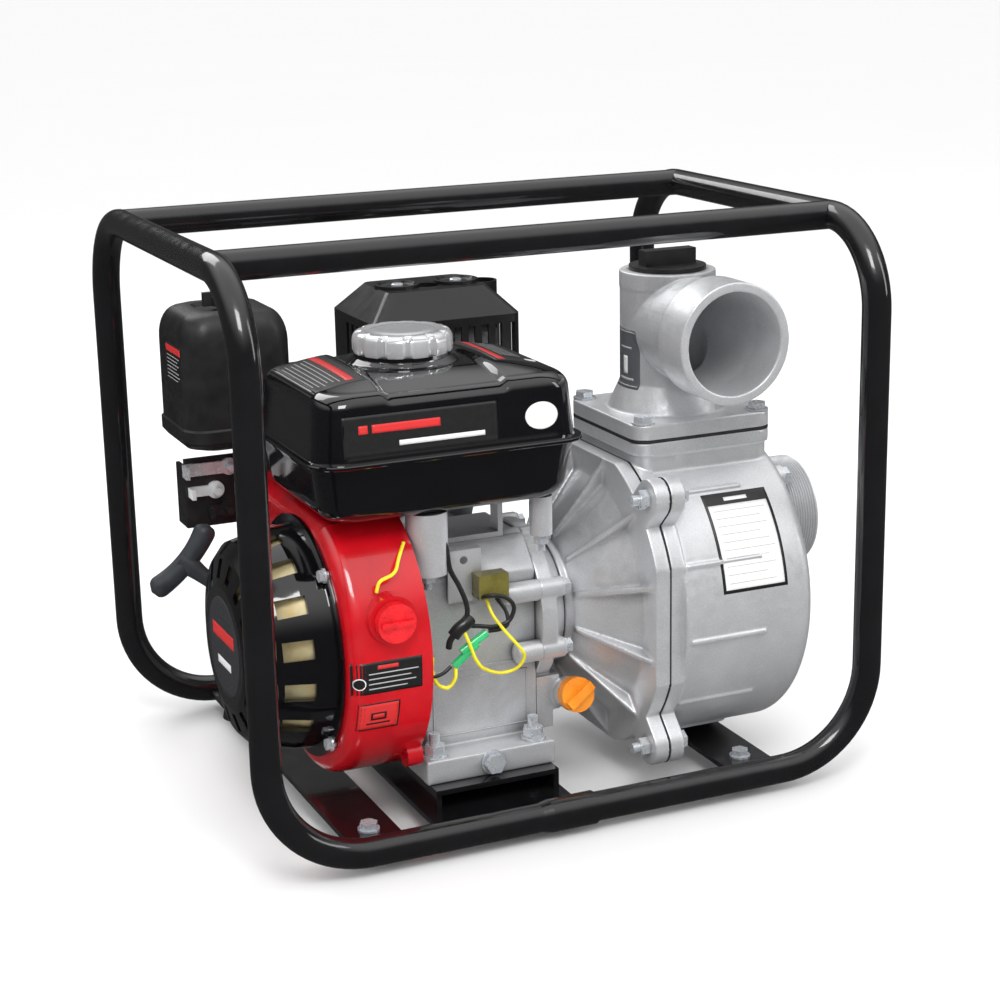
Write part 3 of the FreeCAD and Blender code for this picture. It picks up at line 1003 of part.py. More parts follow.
def make_elbow():
    """The discharge elbow with its priming neck, base plate, gasket and bolts."""
    x = SIZES["elbow_x"]
    y = SIZES["crank_y"]
    wide = SIZES["neck_wide"]
    low = SIZES["neck_top_z"]
    gasket = SIZES["gasket_thick"]
    thick = SIZES["elbow_plate_thick"]
    reach = SIZES["elbow_bolt"]
    port_z = SIZES["port_z"]
    top = SIZES["prime_top_z"]
    middle_x = SIZES["neck_x"] + wide / 2
    left = middle_x - wide / 2 - 2
    front = y - wide / 2 - 2
    corners = [(sx * reach, sy * reach) for sx in (-1, 1) for sy in (-1, 1)]

    def plate(z, tall):
        slab = Part.makeBox(wide + 4, wide + 4, tall, Vector(left, front, z))
        return slab.makeFillet(13, [edge for edge in slab.Edges if abs(edge.tangentAt(0).z) > 0.9])

    holes = Part.makeCompound([Part.makeCylinder(4.1, 60, Vector(middle_x + dx, y + dy, low - 5))
                               for dx, dy in corners])
    way = Part.makeCylinder(SIZES["elbow_bore_r"], 140, Vector(x, y, low - 2))
    share("pump_gaskets", solid(plate(low, gasket).cut(holes).cut(way)))
    forward = Vector(0, -1, 0)
    pipe = Part.makeCylinder(SIZES["elbow_r"], top - low - gasket - 6, Vector(x, y, low + gasket))
    foot = Part.makeCone(SIZES["elbow_r"] + 10, SIZES["elbow_r"], 22, Vector(x, y, low + gasket + thick))
    ring = Part.makeCylinder(SIZES["prime_r"], SIZES["prime_ring"], Vector(x, y, top - SIZES["prime_ring"]))
    front_y = SIZES["port_front_y"]
    long = SIZES["port_long"]
    branch = Part.makeCone(SIZES["elbow_r"] - 2, SIZES["port_r"] - 3, y - front_y - long + 2, Vector(x, y, port_z),
                           forward)
    rim = Part.makeCylinder(SIZES["port_r"], long, Vector(x, front_y + long, port_z), forward)
    whole = plate(low + gasket, thick).multiFuse([pipe, foot, ring, branch, rim])
    mouth = Part.makeCylinder(SIZES["port_bore_r"], long, Vector(x, front_y + long, port_z), forward)
    inner_branch = Part.makeCone(SIZES["elbow_bore_r"], SIZES["port_bore_r"], y - front_y - long + 0.5,
                                 Vector(x, y, port_z), forward)
    prime = Part.makeCylinder(SIZES["prime_bore_r"], 60, Vector(x, y, top - 40))
    lower = Part.makeCylinder(SIZES["elbow_bore_r"], top - low - 34, Vector(x, y, low - 2))
    whole = whole.cut(lower).cut(inner_branch).cut(mouth).cut(prime).cut(holes)
    sub_part("discharge_elbow", solid(whole.removeSplitter()))
    seat = "neck_top_z + gasket_thick + elbow_plate_thick"
    centre_x = "neck_x + neck_wide / 2"
    for dx, dy in corners:
        share("pump_bolts", flange_bolt((centre_x + " + %d" % dx, "crank_y + %d" % dy, seat), "z", "4", "12",
                                        "13", "6"))
    at = ("elbow_x", "crank_y", "prime_top_z")
    threads = cylinder(offset(at, "-z", "18"), "z", "prime_bore_r - 0.3", "18.3")
    head = cylinder(offset(at, "z", "0.3"), "z", "30", "3")
    bar = box(offset(offset(offset(at, "z", "0.3"), "-x", "22"), "-y", "6"), ("44", "12", "15"))
    sub_part("priming_plug", fuse(threads, head, bar))


# ---------------------------------------------------------------- build, check and write
def check_document():
    """Stop if any object failed, or any sub-part is empty or invalid."""
    for item in DOC.Objects:
        if "Invalid" in item.State or "Error" in item.State:
            raise RuntimeError("%s (%s) failed: %s" % (item.Name, item.Label, item.State))
    for label, item in PARTS:
        if item.Shape.isNull() or not item.Shape.isValid() or not item.Shape.Solids:
            raise RuntimeError("%s has no valid solid" % label)


def main():
    """Build every group of sub-parts, check them and write one file for each."""
    for make in (make_frame, make_crankcase, make_side_cover, make_dipstick, make_cylinder, make_fan_housing,
                 make_switch, make_recoil, make_handle, make_rotor, make_tank, make_tank_mounts, make_fuel_cap,
                 make_air_cleaner, make_carburettor, make_muffler, make_wiring, make_pump_bracket, make_casing,
                 make_volute, make_suction, make_elbow):
        make()
    for label, items in SHARED.items():
        sub_part(label, group(*items))
    DOC.recompute()
    check_document()
    os.makedirs("parts", exist_ok=True)
    for label, item in PARTS:
        item.Shape.exportStep("parts/%s.step" % label)
        print("%-24s %2d solids %10.0f mm3" % (label, len(item.Shape.Solids), item.Shape.Volume))


main()
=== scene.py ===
"""Looks of an engine-driven self-priming water pump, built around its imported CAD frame.

Lengths are metres. MM turns the millimetres that the drawing uses into metres.
"""
import json
import math

import bmesh
import bpy
from mathutils import Matrix, Vector
from mathutils.bvhtree import BVHTree


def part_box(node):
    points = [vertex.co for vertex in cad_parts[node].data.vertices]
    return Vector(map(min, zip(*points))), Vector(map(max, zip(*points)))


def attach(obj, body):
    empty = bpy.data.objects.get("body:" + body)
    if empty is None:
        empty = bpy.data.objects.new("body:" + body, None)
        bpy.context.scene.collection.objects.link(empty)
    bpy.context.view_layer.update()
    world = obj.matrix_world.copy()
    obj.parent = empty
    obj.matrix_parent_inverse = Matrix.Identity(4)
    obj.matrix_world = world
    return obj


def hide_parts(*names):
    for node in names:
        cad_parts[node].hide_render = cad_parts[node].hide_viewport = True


MM = 0.001
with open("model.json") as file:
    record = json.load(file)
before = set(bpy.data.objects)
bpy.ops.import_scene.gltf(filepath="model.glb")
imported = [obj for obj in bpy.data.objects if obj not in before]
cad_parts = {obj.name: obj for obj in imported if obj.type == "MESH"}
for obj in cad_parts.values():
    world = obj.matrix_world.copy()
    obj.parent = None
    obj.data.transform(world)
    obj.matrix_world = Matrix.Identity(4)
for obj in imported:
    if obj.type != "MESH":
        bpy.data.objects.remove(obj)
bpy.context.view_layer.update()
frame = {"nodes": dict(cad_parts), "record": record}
NODES = frame["nodes"]
SLOT_OF = {row["node"]: row["material_slot"] for row in frame["record"]["subparts"]}

CRANK = Vector((0, -60, 142)) * MM
UP = (0, 0, 1)
FRONT = (0, -1, 0)
LEFT = (-1, 0, 0)
TANK_LOW, TANK_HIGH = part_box("fuel_tank")
CAP_LOW, CAP_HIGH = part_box("fuel_cap")
CAP_AXIS = (CAP_LOW + CAP_HIGH) / 2


# ---------------------------------------------------------------- finishes

class Finish:
    """A node material: a principled shader with noise for colour, gloss and relief."""

    def __init__(self, name, roughness=0.5, metallic=0.0, coat=0.0, coat_roughness=0.03, **sockets):
        self.material = bpy.data.materials.new(name)
        self.material.use_nodes = True
        self.tree = self.material.node_tree
        self.shader = self.tree.nodes["Principled BSDF"]
        self.where = self.tree.nodes.new("ShaderNodeTexCoord").outputs["Object"]
        self.relief = None
        values = {"Roughness": roughness, "Metallic": metallic, "Coat Weight": coat,
                  "Coat Roughness": coat_roughness}
        values.update({key.replace("_", " ").title(): value for key, value in sockets.items()})
        for key, value in values.items():
            self.shader.inputs[key].default_value = value

    def node(self, kind, **inputs):
        """A new node. Each input is a value, or another node's output to link."""
        made = self.tree.nodes.new(kind)
        for key, value in inputs.items():
            socket = made.inputs[key.replace("_", " ").title()]
            if hasattr(value, "is_output"):
                self.tree.links.new(value, socket)
            else:
                socket.default_value = value
        return made

    def noise(self, size, detail=3.0, stretch=(1, 1, 1)):
        """Noise whose features are about size metres across, pulled out along the axes of stretch."""
        place = self.node("ShaderNodeMapping", Vector=self.where, Scale=stretch)
        return self.node("ShaderNodeTexNoise", Vector=place.outputs["Vector"], Scale=1 / size,
                         Detail=detail).outputs["Fac"]

    def between(self, factor, low, high, start=0.35, end=0.65):
        """A factor mapped from start..end to low..high."""
        made = self.tree.nodes.new("ShaderNodeMapRange")
        self.tree.links.new(factor, made.inputs["Value"])
        for key, value in (("From Min", start), ("From Max", end), ("To Min", low), ("To Max", high)):
            made.inputs[key].default_value = value
        return made.outputs["Result"]

    def blend(self, factor, first, second):
        """A colour mixed from two others."""
        made = self.tree.nodes.new("ShaderNodeMix")
        made.data_type = "RGBA"
        for socket, value in ((made.inputs[0], factor), (made.inputs[6], first), (made.inputs[7], second)):
            if hasattr(value, "is_output"):
                self.tree.links.new(value, socket)
            else:
                socket.default_value = value if isinstance(value, float) else (*value, 1.0)
        return made.outputs[2]

    def colour(self, output):
        """Takes the base colour from an output."""
        self.tree.links.new(output, self.shader.inputs["Base Color"])
        return self

    def gloss(self, output):
        """Takes the roughness from an output."""
        self.tree.links.new(output, self.shader.inputs["Roughness"])
        return self

    def bump(self, height, depth, strength=1.0):
        """Relief of depth metres."""
        made = self.node("ShaderNodeBump", Strength=strength, Distance=depth, Height=height)
        if self.relief is not None:
            self.tree.links.new(self.relief, made.inputs["Normal"])
        self.relief = made.outputs["Normal"]
        self.tree.links.new(self.relief, self.shader.inputs["Normal"])
        if self.shader.inputs["Coat Weight"].default_value > 0:
            self.tree.links.new(self.relief, self.shader.inputs["Coat Normal"])
        return self

    def shade(self, reach):
        """How open a point is, 1 in the open and 0 deep in a corner."""
        return self.node("ShaderNodeAmbientOcclusion", Distance=reach).outputs["AO"]


def painted(name, colour, low_rough, high_rough, coat=1.0, peel=0.00002, corner_shade_colour=None):
    """Glossy paint: slow changes of tone and gloss, a fine orange peel, and painted shade in the corners
    when a corner colour is given.
    """
    made = Finish(name, coat=coat, coat_roughness=0.04)
    tone = made.between(made.noise(0.03), 0.0, 1.0)
    deep = [channel * 0.8 for channel in colour]
    base = made.blend(tone, colour, deep)
    if corner_shade_colour is not None:
        # painted shade: where ambient occlusion finds a corner closed in, the paint takes the given darker
        # colour
        corner = made.between(made.shade(0.006), 1.0, 0.0, 0.1, 0.6)
        base = made.blend(corner, base, corner_shade_colour)
    made.colour(base)
    made.gloss(made.between(made.noise(0.012, 5), low_rough, high_rough))
    made.bump(made.noise(0.0022, 2), peel)
    return made.material


def cast_metal(name, colour, dark, metallic, low_rough=0.34, high_rough=0.5, grain=0.0011,
               depth=0.00006):
    """Silver-painted or bare casting: sandy grain, tone that drifts, and painted shade that darkens the
    corners.
    """
    made = Finish(name, metallic=metallic)
    drift = made.between(made.noise(0.035, 4), 0.0, 1.0, 0.3, 0.7)
    speck = made.between(made.noise(grain * 0.8, 2), 0.0, 0.5, 0.45, 0.75)
    base = made.blend(drift, colour, [channel * 0.88 for channel in colour])
    base = made.blend(speck, base, [min(1.0, channel * 1.25) for channel in colour])
    # painted shade: the colour dark fills the corners that ambient occlusion finds closed in
    painted_shade_mask = made.between(made.shade(0.016), 0.0, 1.0, 0.15, 0.85)
    made.colour(made.blend(painted_shade_mask, dark, base))
    made.gloss(made.between(made.noise(0.006, 4), low_rough, high_rough))
    made.bump(made.noise(grain, 3), depth)
    made.bump(made.noise(0.009, 2), depth * 3, 0.5)
    return made.material


def plated(name, colour, low_rough, high_rough, tint=None, stretch=(1, 1, 1), metallic=0.6):
    """Plated or machined steel: tinted patches, smudged gloss, a fine brushed relief and painted shade in
    its corners.
    """
    made = Finish(name, metallic=metallic)
    other = tint or [channel * 0.88 for channel in colour]
    base = made.blend(made.between(made.noise(0.009, 3), 0.0, 1.0), colour, other)
    # painted shade: the corners that ambient occlusion finds closed in take 30 percent of the colour
    corner = made.between(made.shade(0.006), 0.0, 1.0, 0.1, 0.7)
    made.colour(made.blend(corner, [channel * 0.3 for channel in colour], base))
    made.gloss(made.between(made.noise(0.006, 2, stretch), low_rough, high_rough))
    made.bump(made.noise(0.0012, 3, stretch), 0.000006)
    return made.material


def moulded(name, colour, low_rough, high_rough, grain=0.0007, depth=0.00003, coat=0.0, sheen=0.0):
    """Moulded plastic or rubber: fine spark-eroded grain and slight changes of tone."""
    made = Finish(name, coat=coat, coat_roughness=0.08, sheen_weight=sheen)
    paler = [min(1.0, channel * 1.35 + 0.004) for channel in colour]
    made.colour(made.blend(made.between(made.noise(0.014, 4), 0.0, 1.0), colour, paler))
    made.gloss(made.between(made.noise(0.004, 4), low_rough, high_rough))
    made.bump(made.noise(grain, 2), depth)
    return made.material


def braided(name, colour):
    """A braided cord or foam: crossing strands as relief."""
    made = Finish(name, roughness=0.85, sheen_weight=0.3)
    strand = made.node("ShaderNodeTexWave", Vector=made.where, Scale=900.0, Distortion=2.0).outputs["Fac"]
    made.colour(made.blend(strand, colour, [channel * 0.6 for channel in colour]))
    made.bump(strand, 0.0003)
    return made.material


def printed(name, colour, rough=0.35):
    """Printed vinyl: even ink with a faint mottle and a soft surface."""
    made = Finish(name, coat=0.3, coat_roughness=0.2)
    made.colour(made.blend(made.between(made.noise(0.004, 4), 0.0, 1.0), colour,
                           [min(1.0, channel * 0.93 + 0.004) for channel in colour]))
    made.gloss(made.between(made.noise(0.003, 3), rough, rough + 0.1))
    made.bump(made.noise(0.0015, 2), 0.00001)
    return made.material


FINISHES = {
    "black_frame_paint": painted("frame_black", (0.008, 0.008, 0.009), 0.12, 0.24, 0.8, 0.000008),
    "foot_rubber": moulded("rubber", (0.018, 0.018, 0.018), 0.6, 0.8, 0.0009, 0.00006),
    "zinc_steel": plated("zinc", (0.78, 0.80, 0.82), 0.2, 0.34, (0.70, 0.74, 0.80)),
    # the third argument of cast_silver and cast_iron is the colour of the painted shade in their corners
    "cast_aluminium": cast_metal("cast_silver", (0.78, 0.79, 0.81), (0.16, 0.16, 0.17), 0.62),
    "pressed_cover": plated("pressed_steel", (0.42, 0.42, 0.43), 0.3, 0.45),
    "orange_plastic": moulded("orange", (0.88, 0.25, 0.008), 0.25, 0.4, 0.001, 0.00002, 0.3),
    "red_paint": painted("engine_red", (0.60, 0.005, 0.012), 0.16, 0.26, 1.0, 0.00003),
    "red_plastic": moulded("switch_red", (0.66, 0.006, 0.012), 0.25, 0.35, 0.001, 0.00001, 0.5),
    "black_plastic": moulded("satin_black", (0.012, 0.012, 0.013), 0.36, 0.5),
    "grey_handle": moulded("grip_grey", (0.026, 0.030, 0.036), 0.4, 0.55),
    "light_plastic": moulded("lever_grey", (0.55, 0.56, 0.57), 0.35, 0.5),
    "black_gloss": painted("tank_black", (0.004, 0.004, 0.005), 0.05, 0.1, 1.0, 0.00001),
    "satin_black": painted("guard_black", (0.008, 0.008, 0.008), 0.28, 0.4, 0.3, 0.00004),
    "gold_mesh": plated("passivated", (0.74, 0.58, 0.28), 0.3, 0.45, (0.82, 0.72, 0.44), (1, 1, 1), 0.4),
    "chrome_cap": plated("chrome", (0.90, 0.91, 0.92), 0.08, 0.16, (0.84, 0.85, 0.87), (1, 1, 1), 0.55),
    "spark_ceramic": moulded("glazed_ceramic", (0.80, 0.79, 0.75), 0.1, 0.2, 0.002, 0.00001, 0.6),
    "cast_iron": cast_metal("cast_iron", (0.23, 0.23, 0.24), (0.04, 0.04, 0.04), 0.8, 0.5, 0.65),
    "machined_steel": plated("machined", (0.58, 0.58, 0.59), 0.22, 0.36, None, (1, 6, 6)),
    "fan_plastic": moulded("fan_black", (0.016, 0.016, 0.017), 0.45, 0.6),
    "filter_foam": braided("foam", (0.05, 0.05, 0.045)),
    "rope": braided("rope", (0.70, 0.70, 0.66)),
    "olive_plastic": moulded("olive", (0.12, 0.105, 0.02), 0.15, 0.3, 0.001, 0.00002, 0.4),
    "yellow_wire": moulded("yellow_insulation", (0.80, 0.66, 0.02), 0.3, 0.4, 0.001, 0.00001, 0.3),
    "black_wire": moulded("black_insulation", (0.012, 0.012, 0.012), 0.3, 0.42, 0.001, 0.00001, 0.3),
    "green_sleeve": moulded("green_sleeve", (0.03, 0.42, 0.14), 0.15, 0.25, 0.001, 0.00001, 0.6),
    "seal_carbon": moulded("carbon", (0.03, 0.03, 0.032), 0.3, 0.5),
}


# ---------------------------------------------------------------- CAD nodes

SHARP_TURN = math.radians(32)
CASTINGS = {"crankcase": 0.9, "crankcase_cover": 0.8, "pump_bracket": 1.0, "pump_casing": 1.0,
            "discharge_elbow": 0.9, "cylinder_head": 1.0}


LOOKS_CAST = ("tank_spacers", "brackets")
SOFT_EDGES = {"muffler_guard": 0.9, "air_cleaner_base": 1.2, "alert_unit": 0.9, "switch_body": 0.8,
              "control_plate": 0.5, "engine_mount_channel": 0.8, "crossbars": 0.8, "switch_knob": 0.7,
              "dipstick": 0.8, "priming_plug": 0.7, "rocker_cover": 0.8}


def finish_node(name, obj):
    """Gives a CAD node the finish of its slot and soft shading across its gentle turns."""
    obj.data.materials.clear()
    obj.data.materials.append(FINISHES["cast_aluminium" if name in LOOKS_CAST else SLOT_OF[name]])
    obj.data.shade_smooth()
    obj.data.set_sharp_from_angle(angle=SHARP_TURN)


def round_casting(obj, voxel):
    """Rounds a casting's edges and inner corners, as a mould leaves them."""
    remesh = obj.modifiers.new("cast_skin", "REMESH")
    remesh.mode = "VOXEL"
    remesh.voxel_size = voxel * MM
    remesh.use_smooth_shade = True
    smooth = obj.modifiers.new("cast_fillets", "SMOOTH")
    smooth.factor = 0.5
    smooth.iterations = 6


def soften(obj, width, angle=40):
    """Breaks the sharp edges of a node or a piece."""
    bevel = obj.modifiers.new("soft_edges", "BEVEL")
    bevel.width = width * MM
    bevel.segments = 2
    bevel.limit_method = "ANGLE"
    bevel.angle_limit = math.radians(angle)
    bevel.harden_normals = True


for node_name, node_object in NODES.items():
    finish_node(node_name, node_object)
for node_name, edge_width in SOFT_EDGES.items():
    soften(NODES[node_name], edge_width)
for node_name, voxel_size in CASTINGS.items():
    round_casting(NODES[node_name], voxel_size)


# ---------------------------------------------------------------- mesh tools

def add_piece(name, points, faces, body, slot, finishes=None, face_finish=None, replaces=()):
    """Makes a mesh piece from points and faces, and lets it ride on a body."""
    mesh = bpy.data.meshes.new(name)
    mesh.from_pydata([tuple(point) for point in points], [], faces)
    for finish in finishes or [FINISHES[slot]]:
        mesh.materials.append(finish)
    if face_finish is not None:
        mesh.polygons.foreach_set("material_index", face_finish)
    obj = bpy.data.objects.new(name, mesh)
    bpy.context.scene.collection.objects.link(obj)
    work = bmesh.new()
    work.from_mesh(mesh)
    bmesh.ops.recalc_face_normals(work, faces=work.faces)
    work.to_mesh(mesh)
    work.free()
    mesh.shade_smooth()
    mesh.set_sharp_from_angle(angle=SHARP_TURN)
    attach(obj, body)
    if replaces:
        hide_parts(*replaces)
    return obj


def loft(rings, first_cap=True, last_cap=True):
    """Points and faces of a skin through rings that have equal counts of points."""
    count = len(rings[0])
    points = [point for ring in rings for point in ring]
    faces = []
    for level in range(len(rings) - 1):
        low, high = level * count, (level + 1) * count
        for step in range(count):
            after = (step + 1) % count
            faces.append((low + step, low + after, high + after, high + step))
    ends = ((first_cap, rings[0], 0), (last_cap, rings[-1], (len(rings) - 1) * count))
    for wanted, ring, start in ends:
        if wanted:
            points.append(sum(ring, Vector()) / count)
            for step in range(count):
                faces.append((start + step, start + (step + 1) % count, len(points) - 1))
    return points, faces


def circle(centre, side, other, radius, count):
    """Points round a circle that lies across side and other."""
    angles = [math.tau * step / count for step in range(count)]
    return [centre + (side * math.cos(angle) + other * math.sin(angle)) * radius for angle in angles]


def lathe(profile, base, axis, count=96, wobble=None):
    """Rings of (radius, height) turned about an axis. wobble(angle, radius, height) changes a radius."""
    axis = Vector(axis).normalized()
    across = axis.orthogonal().normalized()
    other = axis.cross(across)
    rings = []
    for radius, height in profile:
        ring = []
        for step in range(count):
            angle = math.tau * step / count
            reach = wobble(angle, radius, height) if wobble else radius
            spoke = across * math.cos(angle) + other * math.sin(angle)
            ring.append(Vector(base) + axis * height + spoke * reach)
        rings.append(ring)
    return rings


def rounded_outline(half_x, half_y, corner, count):
    """Points at equal steps round a rectangle with round corners, about the origin."""
    corner = max(min(corner, half_x - 0.0002, half_y - 0.0002), 0.0001)
    corners = []
    for quarter, (sx, sy) in enumerate(((1, 1), (-1, 1), (-1, -1), (1, -1))):
        centre = Vector((sx * (half_x - corner), sy * (half_y - corner)))
        for step in range(13):
            angle = math.pi / 2 * (quarter + step / 12)
            corners.append(centre + Vector((math.cos(angle), math.sin(angle))) * corner)
    lengths = [(corners[i] - corners[i - 1]).length for i in range(len(corners))]
    lengths = lengths[1:] + lengths[:1]
    total, made, index, gone = sum(lengths), [], 0, 0.0
    for step in range(count):
        target = total * step / count
        while gone + lengths[index] < target:
            gone += lengths[index]
            index += 1
        share = (target - gone) / max(lengths[index], 1e-9)
        made.append(corners[index].lerp(corners[(index + 1) % len(corners)], share))
    return made


def smooth_step(value, low, high):
    """0 at low, 1 at high, with level ends."""
    share = min(1.0, max(0.0, (value - low) / (high - low)))
    return share * share * (3 - 2 * share)


# ---------------------------------------------------------------- stickers

class Skin:
    """The outer surface of some objects, to lay labels on."""

    def __init__(self, *objects):
        bpy.context.view_layer.update()
        graph = bpy.context.evaluated_depsgraph_get()
        self.trees = [BVHTree.FromObject(obj, graph) for obj in objects]

    def touch(self, start, direction):
        """Where a line from start first meets the skin, and which way the skin faces there."""
        best = None
        for tree in self.trees:
            place, normal, _, distance = tree.ray_cast(start, direction)
            if place is not None and (best is None or distance < best[2]):
                best = (place, normal, distance)
        return best


VINYL = 0.00012


def add_label(name, skin, centre, facing, upward, patches, slot, body="base", step=0.0025):
    """A printed label laid on a skin, made of patches.

    A patch is (left, low, right, high, ink, level, shape), in millimetres. shape is "box" or "round".
    level stacks the inks. facing points out of the skin.
    """
    facing = Vector(facing).normalized()
    across = Vector(upward).cross(facing).normalized()
    upward = facing.cross(across)
    centre = Vector(centre)
    inks = sorted({patch[4] for patch in patches})
    points, faces, face_ink = [], [], []
    for left, low, right, high, ink, level, shape in patches:
        left, low, right, high = (value * MM for value in (left, low, right, high))
        columns = max(1, math.ceil((right - left) / step)) if shape == "box" else 16
        rows = max(1, math.ceil((high - low) / step)) if shape == "box" else 16
        start = len(points)
        for row in range(rows + 1):
            for column in range(columns + 1):
                u, v = 2 * column / columns - 1, 2 * row / rows - 1
                if shape == "round":
                    u, v = u * math.sqrt(1 - v * v / 2), v * math.sqrt(1 - u * u / 2)
                x = (left + right) / 2 + u * (right - left) / 2
                y = (low + high) / 2 + v * (high - low) / 2
                origin = centre + across * x + upward * y
                met = skin.touch(origin + facing * 0.05, -facing)
                lift = VINYL * (0.6 + 0.6 * level)
                points.append(met[0] + met[1] * lift if met else origin)
        for row in range(rows):
            for column in range(columns):
                corner = start + row * (columns + 1) + column
                faces.append((corner, corner + 1, corner + columns + 2, corner + columns + 1))
                face_ink.append(inks.index(ink))
    label = add_piece(name, points, faces, body, slot, [INKS[ink] for ink in inks], face_ink)
    flat = label.modifiers.new("thickness", "SOLIDIFY")
    flat.thickness = VINYL * 0.5
    flat.offset = -1
    return label


INKS = {
    "black": printed("ink_black", (0.012, 0.012, 0.013), 0.4),
    "graphite": printed("ink_graphite", (0.035, 0.036, 0.04), 0.42),
    "red": printed("ink_red", (0.70, 0.02, 0.02), 0.35),
    "white": printed("ink_white", (0.82, 0.82, 0.82), 0.35),
    "grey": printed("ink_grey", (0.45, 0.45, 0.46), 0.4),
    "plate": printed("ink_plate", (0.10, 0.105, 0.115), 0.3),
}


def lines(left, right, high, low, count, ink, level, thick=0.5):
    """Rows of fine rules that stand for small print."""
    pitch = (high - low) / max(count - 1, 1)
    short = [0, 6, 2, 9, 3]
    return [(left, high - pitch * row - thick / 2, right - short[row % 5] * (right - left) / 40,
             high - pitch * row + thick / 2, ink, level, "box") for row in range(count)]


# ---------------------------------------------------------------- fuel tank

TANK_CORNER = 0.024
SEAM_Z = 0.2895
RIM = 0.0045  # how far the seam's rim stands out of the shells
PRESS = 0.0013  # how deep the panel in the front face is pressed


def tank_rings(count=360):
    """The tank's outline from the flat underside, out over the seam's rim, and in to the filler neck."""
    middle = (TANK_LOW + TANK_HIGH) / 2
    half_x, half_y = (TANK_HIGH.x - TANK_LOW.x) / 2, (TANK_HIGH.y - TANK_LOW.y) / 2
    low, shoulder, crown = TANK_LOW.z, 0.3385, 0.3462
    levels = [(0.060, low), (0.040, low), (0.026, low)]
    for step in range(9):  # the round lower edge
        angle = math.pi / 2 * step / 8
        levels.append((0.026 - 0.016 * math.sin(angle), low + 0.016 * (1 - math.cos(angle))))
    levels += [(0.0085, low + 0.026), (0.0065, low + 0.038)]
    levels += [(RIM + 0.0005, SEAM_Z - 0.0022), (RIM, SEAM_Z - 0.0017), (0.0006, SEAM_Z - 0.0015)]
    levels += [(0.0, SEAM_Z - 0.0008), (0.0, SEAM_Z + 0.0008)]
    levels += [(0.0006, SEAM_Z + 0.0015), (RIM, SEAM_Z + 0.0018), (RIM + 0.0005, SEAM_Z + 0.003)]
    wall_top = shoulder - 0.0125
    wall_foot = SEAM_Z + 0.003
    for step in range(1, 19):  # the upright wall
        share = step / 18
        levels.append((RIM + 0.0005 + 0.003 * share, wall_foot + (wall_top - wall_foot) * share))
    for step in range(1, 11):  # the shoulder
        angle = math.pi / 2 * step / 10
        levels.append((RIM + 0.0035 + 0.0125 * (1 - math.cos(angle)), wall_top + 0.0125 * math.sin(angle)))
    rings = []
    for inset, z in levels:
        outline = rounded_outline(half_x - inset, half_y - inset, TANK_CORNER - inset * 0.2, count)
        rings.append([Vector((middle.x + p.x, middle.y + p.y, z)) for p in outline])
    edge = rings[-1]
    centre = Vector((CAP_AXIS.x, CAP_AXIS.y, 0))
    for step in range(1, 21):  # the crowned top, drawn in to the neck
        share = step / 20
        ring = []
        for point in edge:
            inner = centre + (Vector((point.x, point.y, 0)) - centre).normalized() * 0.043
            flat = Vector((point.x, point.y, 0)).lerp(inner, share)
            rise = (crown - shoulder) * math.sin(share * math.pi / 2)
            ring.append(Vector((flat.x, flat.y, shoulder + rise)))
        rings.append(ring)
    return rings


def press_tank(point):
    """Presses the label panel into the front face, and a shallow channel across the top."""
    front = smooth_step(-point.y, -TANK_LOW.y - 0.014, -TANK_LOW.y - 0.009)
    beside = min(point.x - (TANK_LOW.x + 0.024), TANK_HIGH.x - 0.024 - point.x)
    within = min(beside, point.z - (SEAM_Z + 0.0055), 0.3255 - point.z)
    point.y += PRESS * front * smooth_step(within, -0.0015, 0.0015)
    if point.z > 0.327:
        away = abs(point.x - CAP_AXIS.x) - 0.046
        point.z -= 0.0028 * smooth_step(-away, -0.003, 0.003) * smooth_step(point.z, 0.327, 0.336)
    return point


def make_tank():
    """The tank's skin, from its underside up to the open filler neck."""
    rings = [[press_tank(point) for point in ring] for ring in tank_rings()]
    top = CAP_LOW.z
    foot = sum((point.z for point in rings[-1]), 0.0) / len(rings[-1])
    neck = [(0.0405, foot + 0.0012), (0.0385, foot + 0.003), (0.0372, top - 0.002), (0.0365, top + 0.0008),
            (0.030, top + 0.0015), (0.026, top + 0.003), (0.0255, TANK_HIGH.z), (0.0205, TANK_HIGH.z),
            (0.0205, 0.300)]
    count = len(rings[0])
    for radius, z in neck:
        ring = []
        for point in rings[-1][:count]:
            out = Vector((point.x - CAP_AXIS.x, point.y - CAP_AXIS.y, 0)).normalized()
            ring.append(Vector((CAP_AXIS.x, CAP_AXIS.y, z)) + out * radius)
        rings.append(ring)
    points, faces = loft(rings, True, False)
    return add_piece("tank_shell", points, faces, "base", "black_gloss", replaces=["fuel_tank"])


def scallop(angle, radius, height):
    """Twelve finger dips round the cap's rim."""
    wave = 0.5 + 0.5 * math.cos(12 * angle)
    dip = smooth_step(wave, 0.62, 0.98)
    return radius - 0.0032 * dip * smooth_step(radius, 0.028, 0.034)


def make_cap():
    """The chrome cap: a scalloped skirt, a rolled edge and a dished top with a raised ring."""
    high = CAP_HIGH.z - CAP_LOW.z
    profile = [(0.0262, 0.003), (0.0262, 0.0006), (0.0345, 0.0), (0.0368, 0.0006), (0.0376, 0.0025),
               (0.0376, high * 0.55), (0.0372, high * 0.72), (0.0358, high * 0.86), (0.0335, high * 0.945),
               (0.0305, high * 0.97), (0.028, high * 0.955), (0.0255, high * 0.93), (0.0235, high * 0.95),
               (0.0215, high * 0.99), (0.019, high), (0.010, high), (0.004, high)]
    points, faces = loft(lathe(profile, (CAP_AXIS.x, CAP_AXIS.y, CAP_LOW.z), UP, 240, scallop))
    add_piece("cap_skirt", points, faces, "filler_cap", "chrome_cap", replaces=["fuel_cap"])


# ---------------------------------------------------------------- starter grip

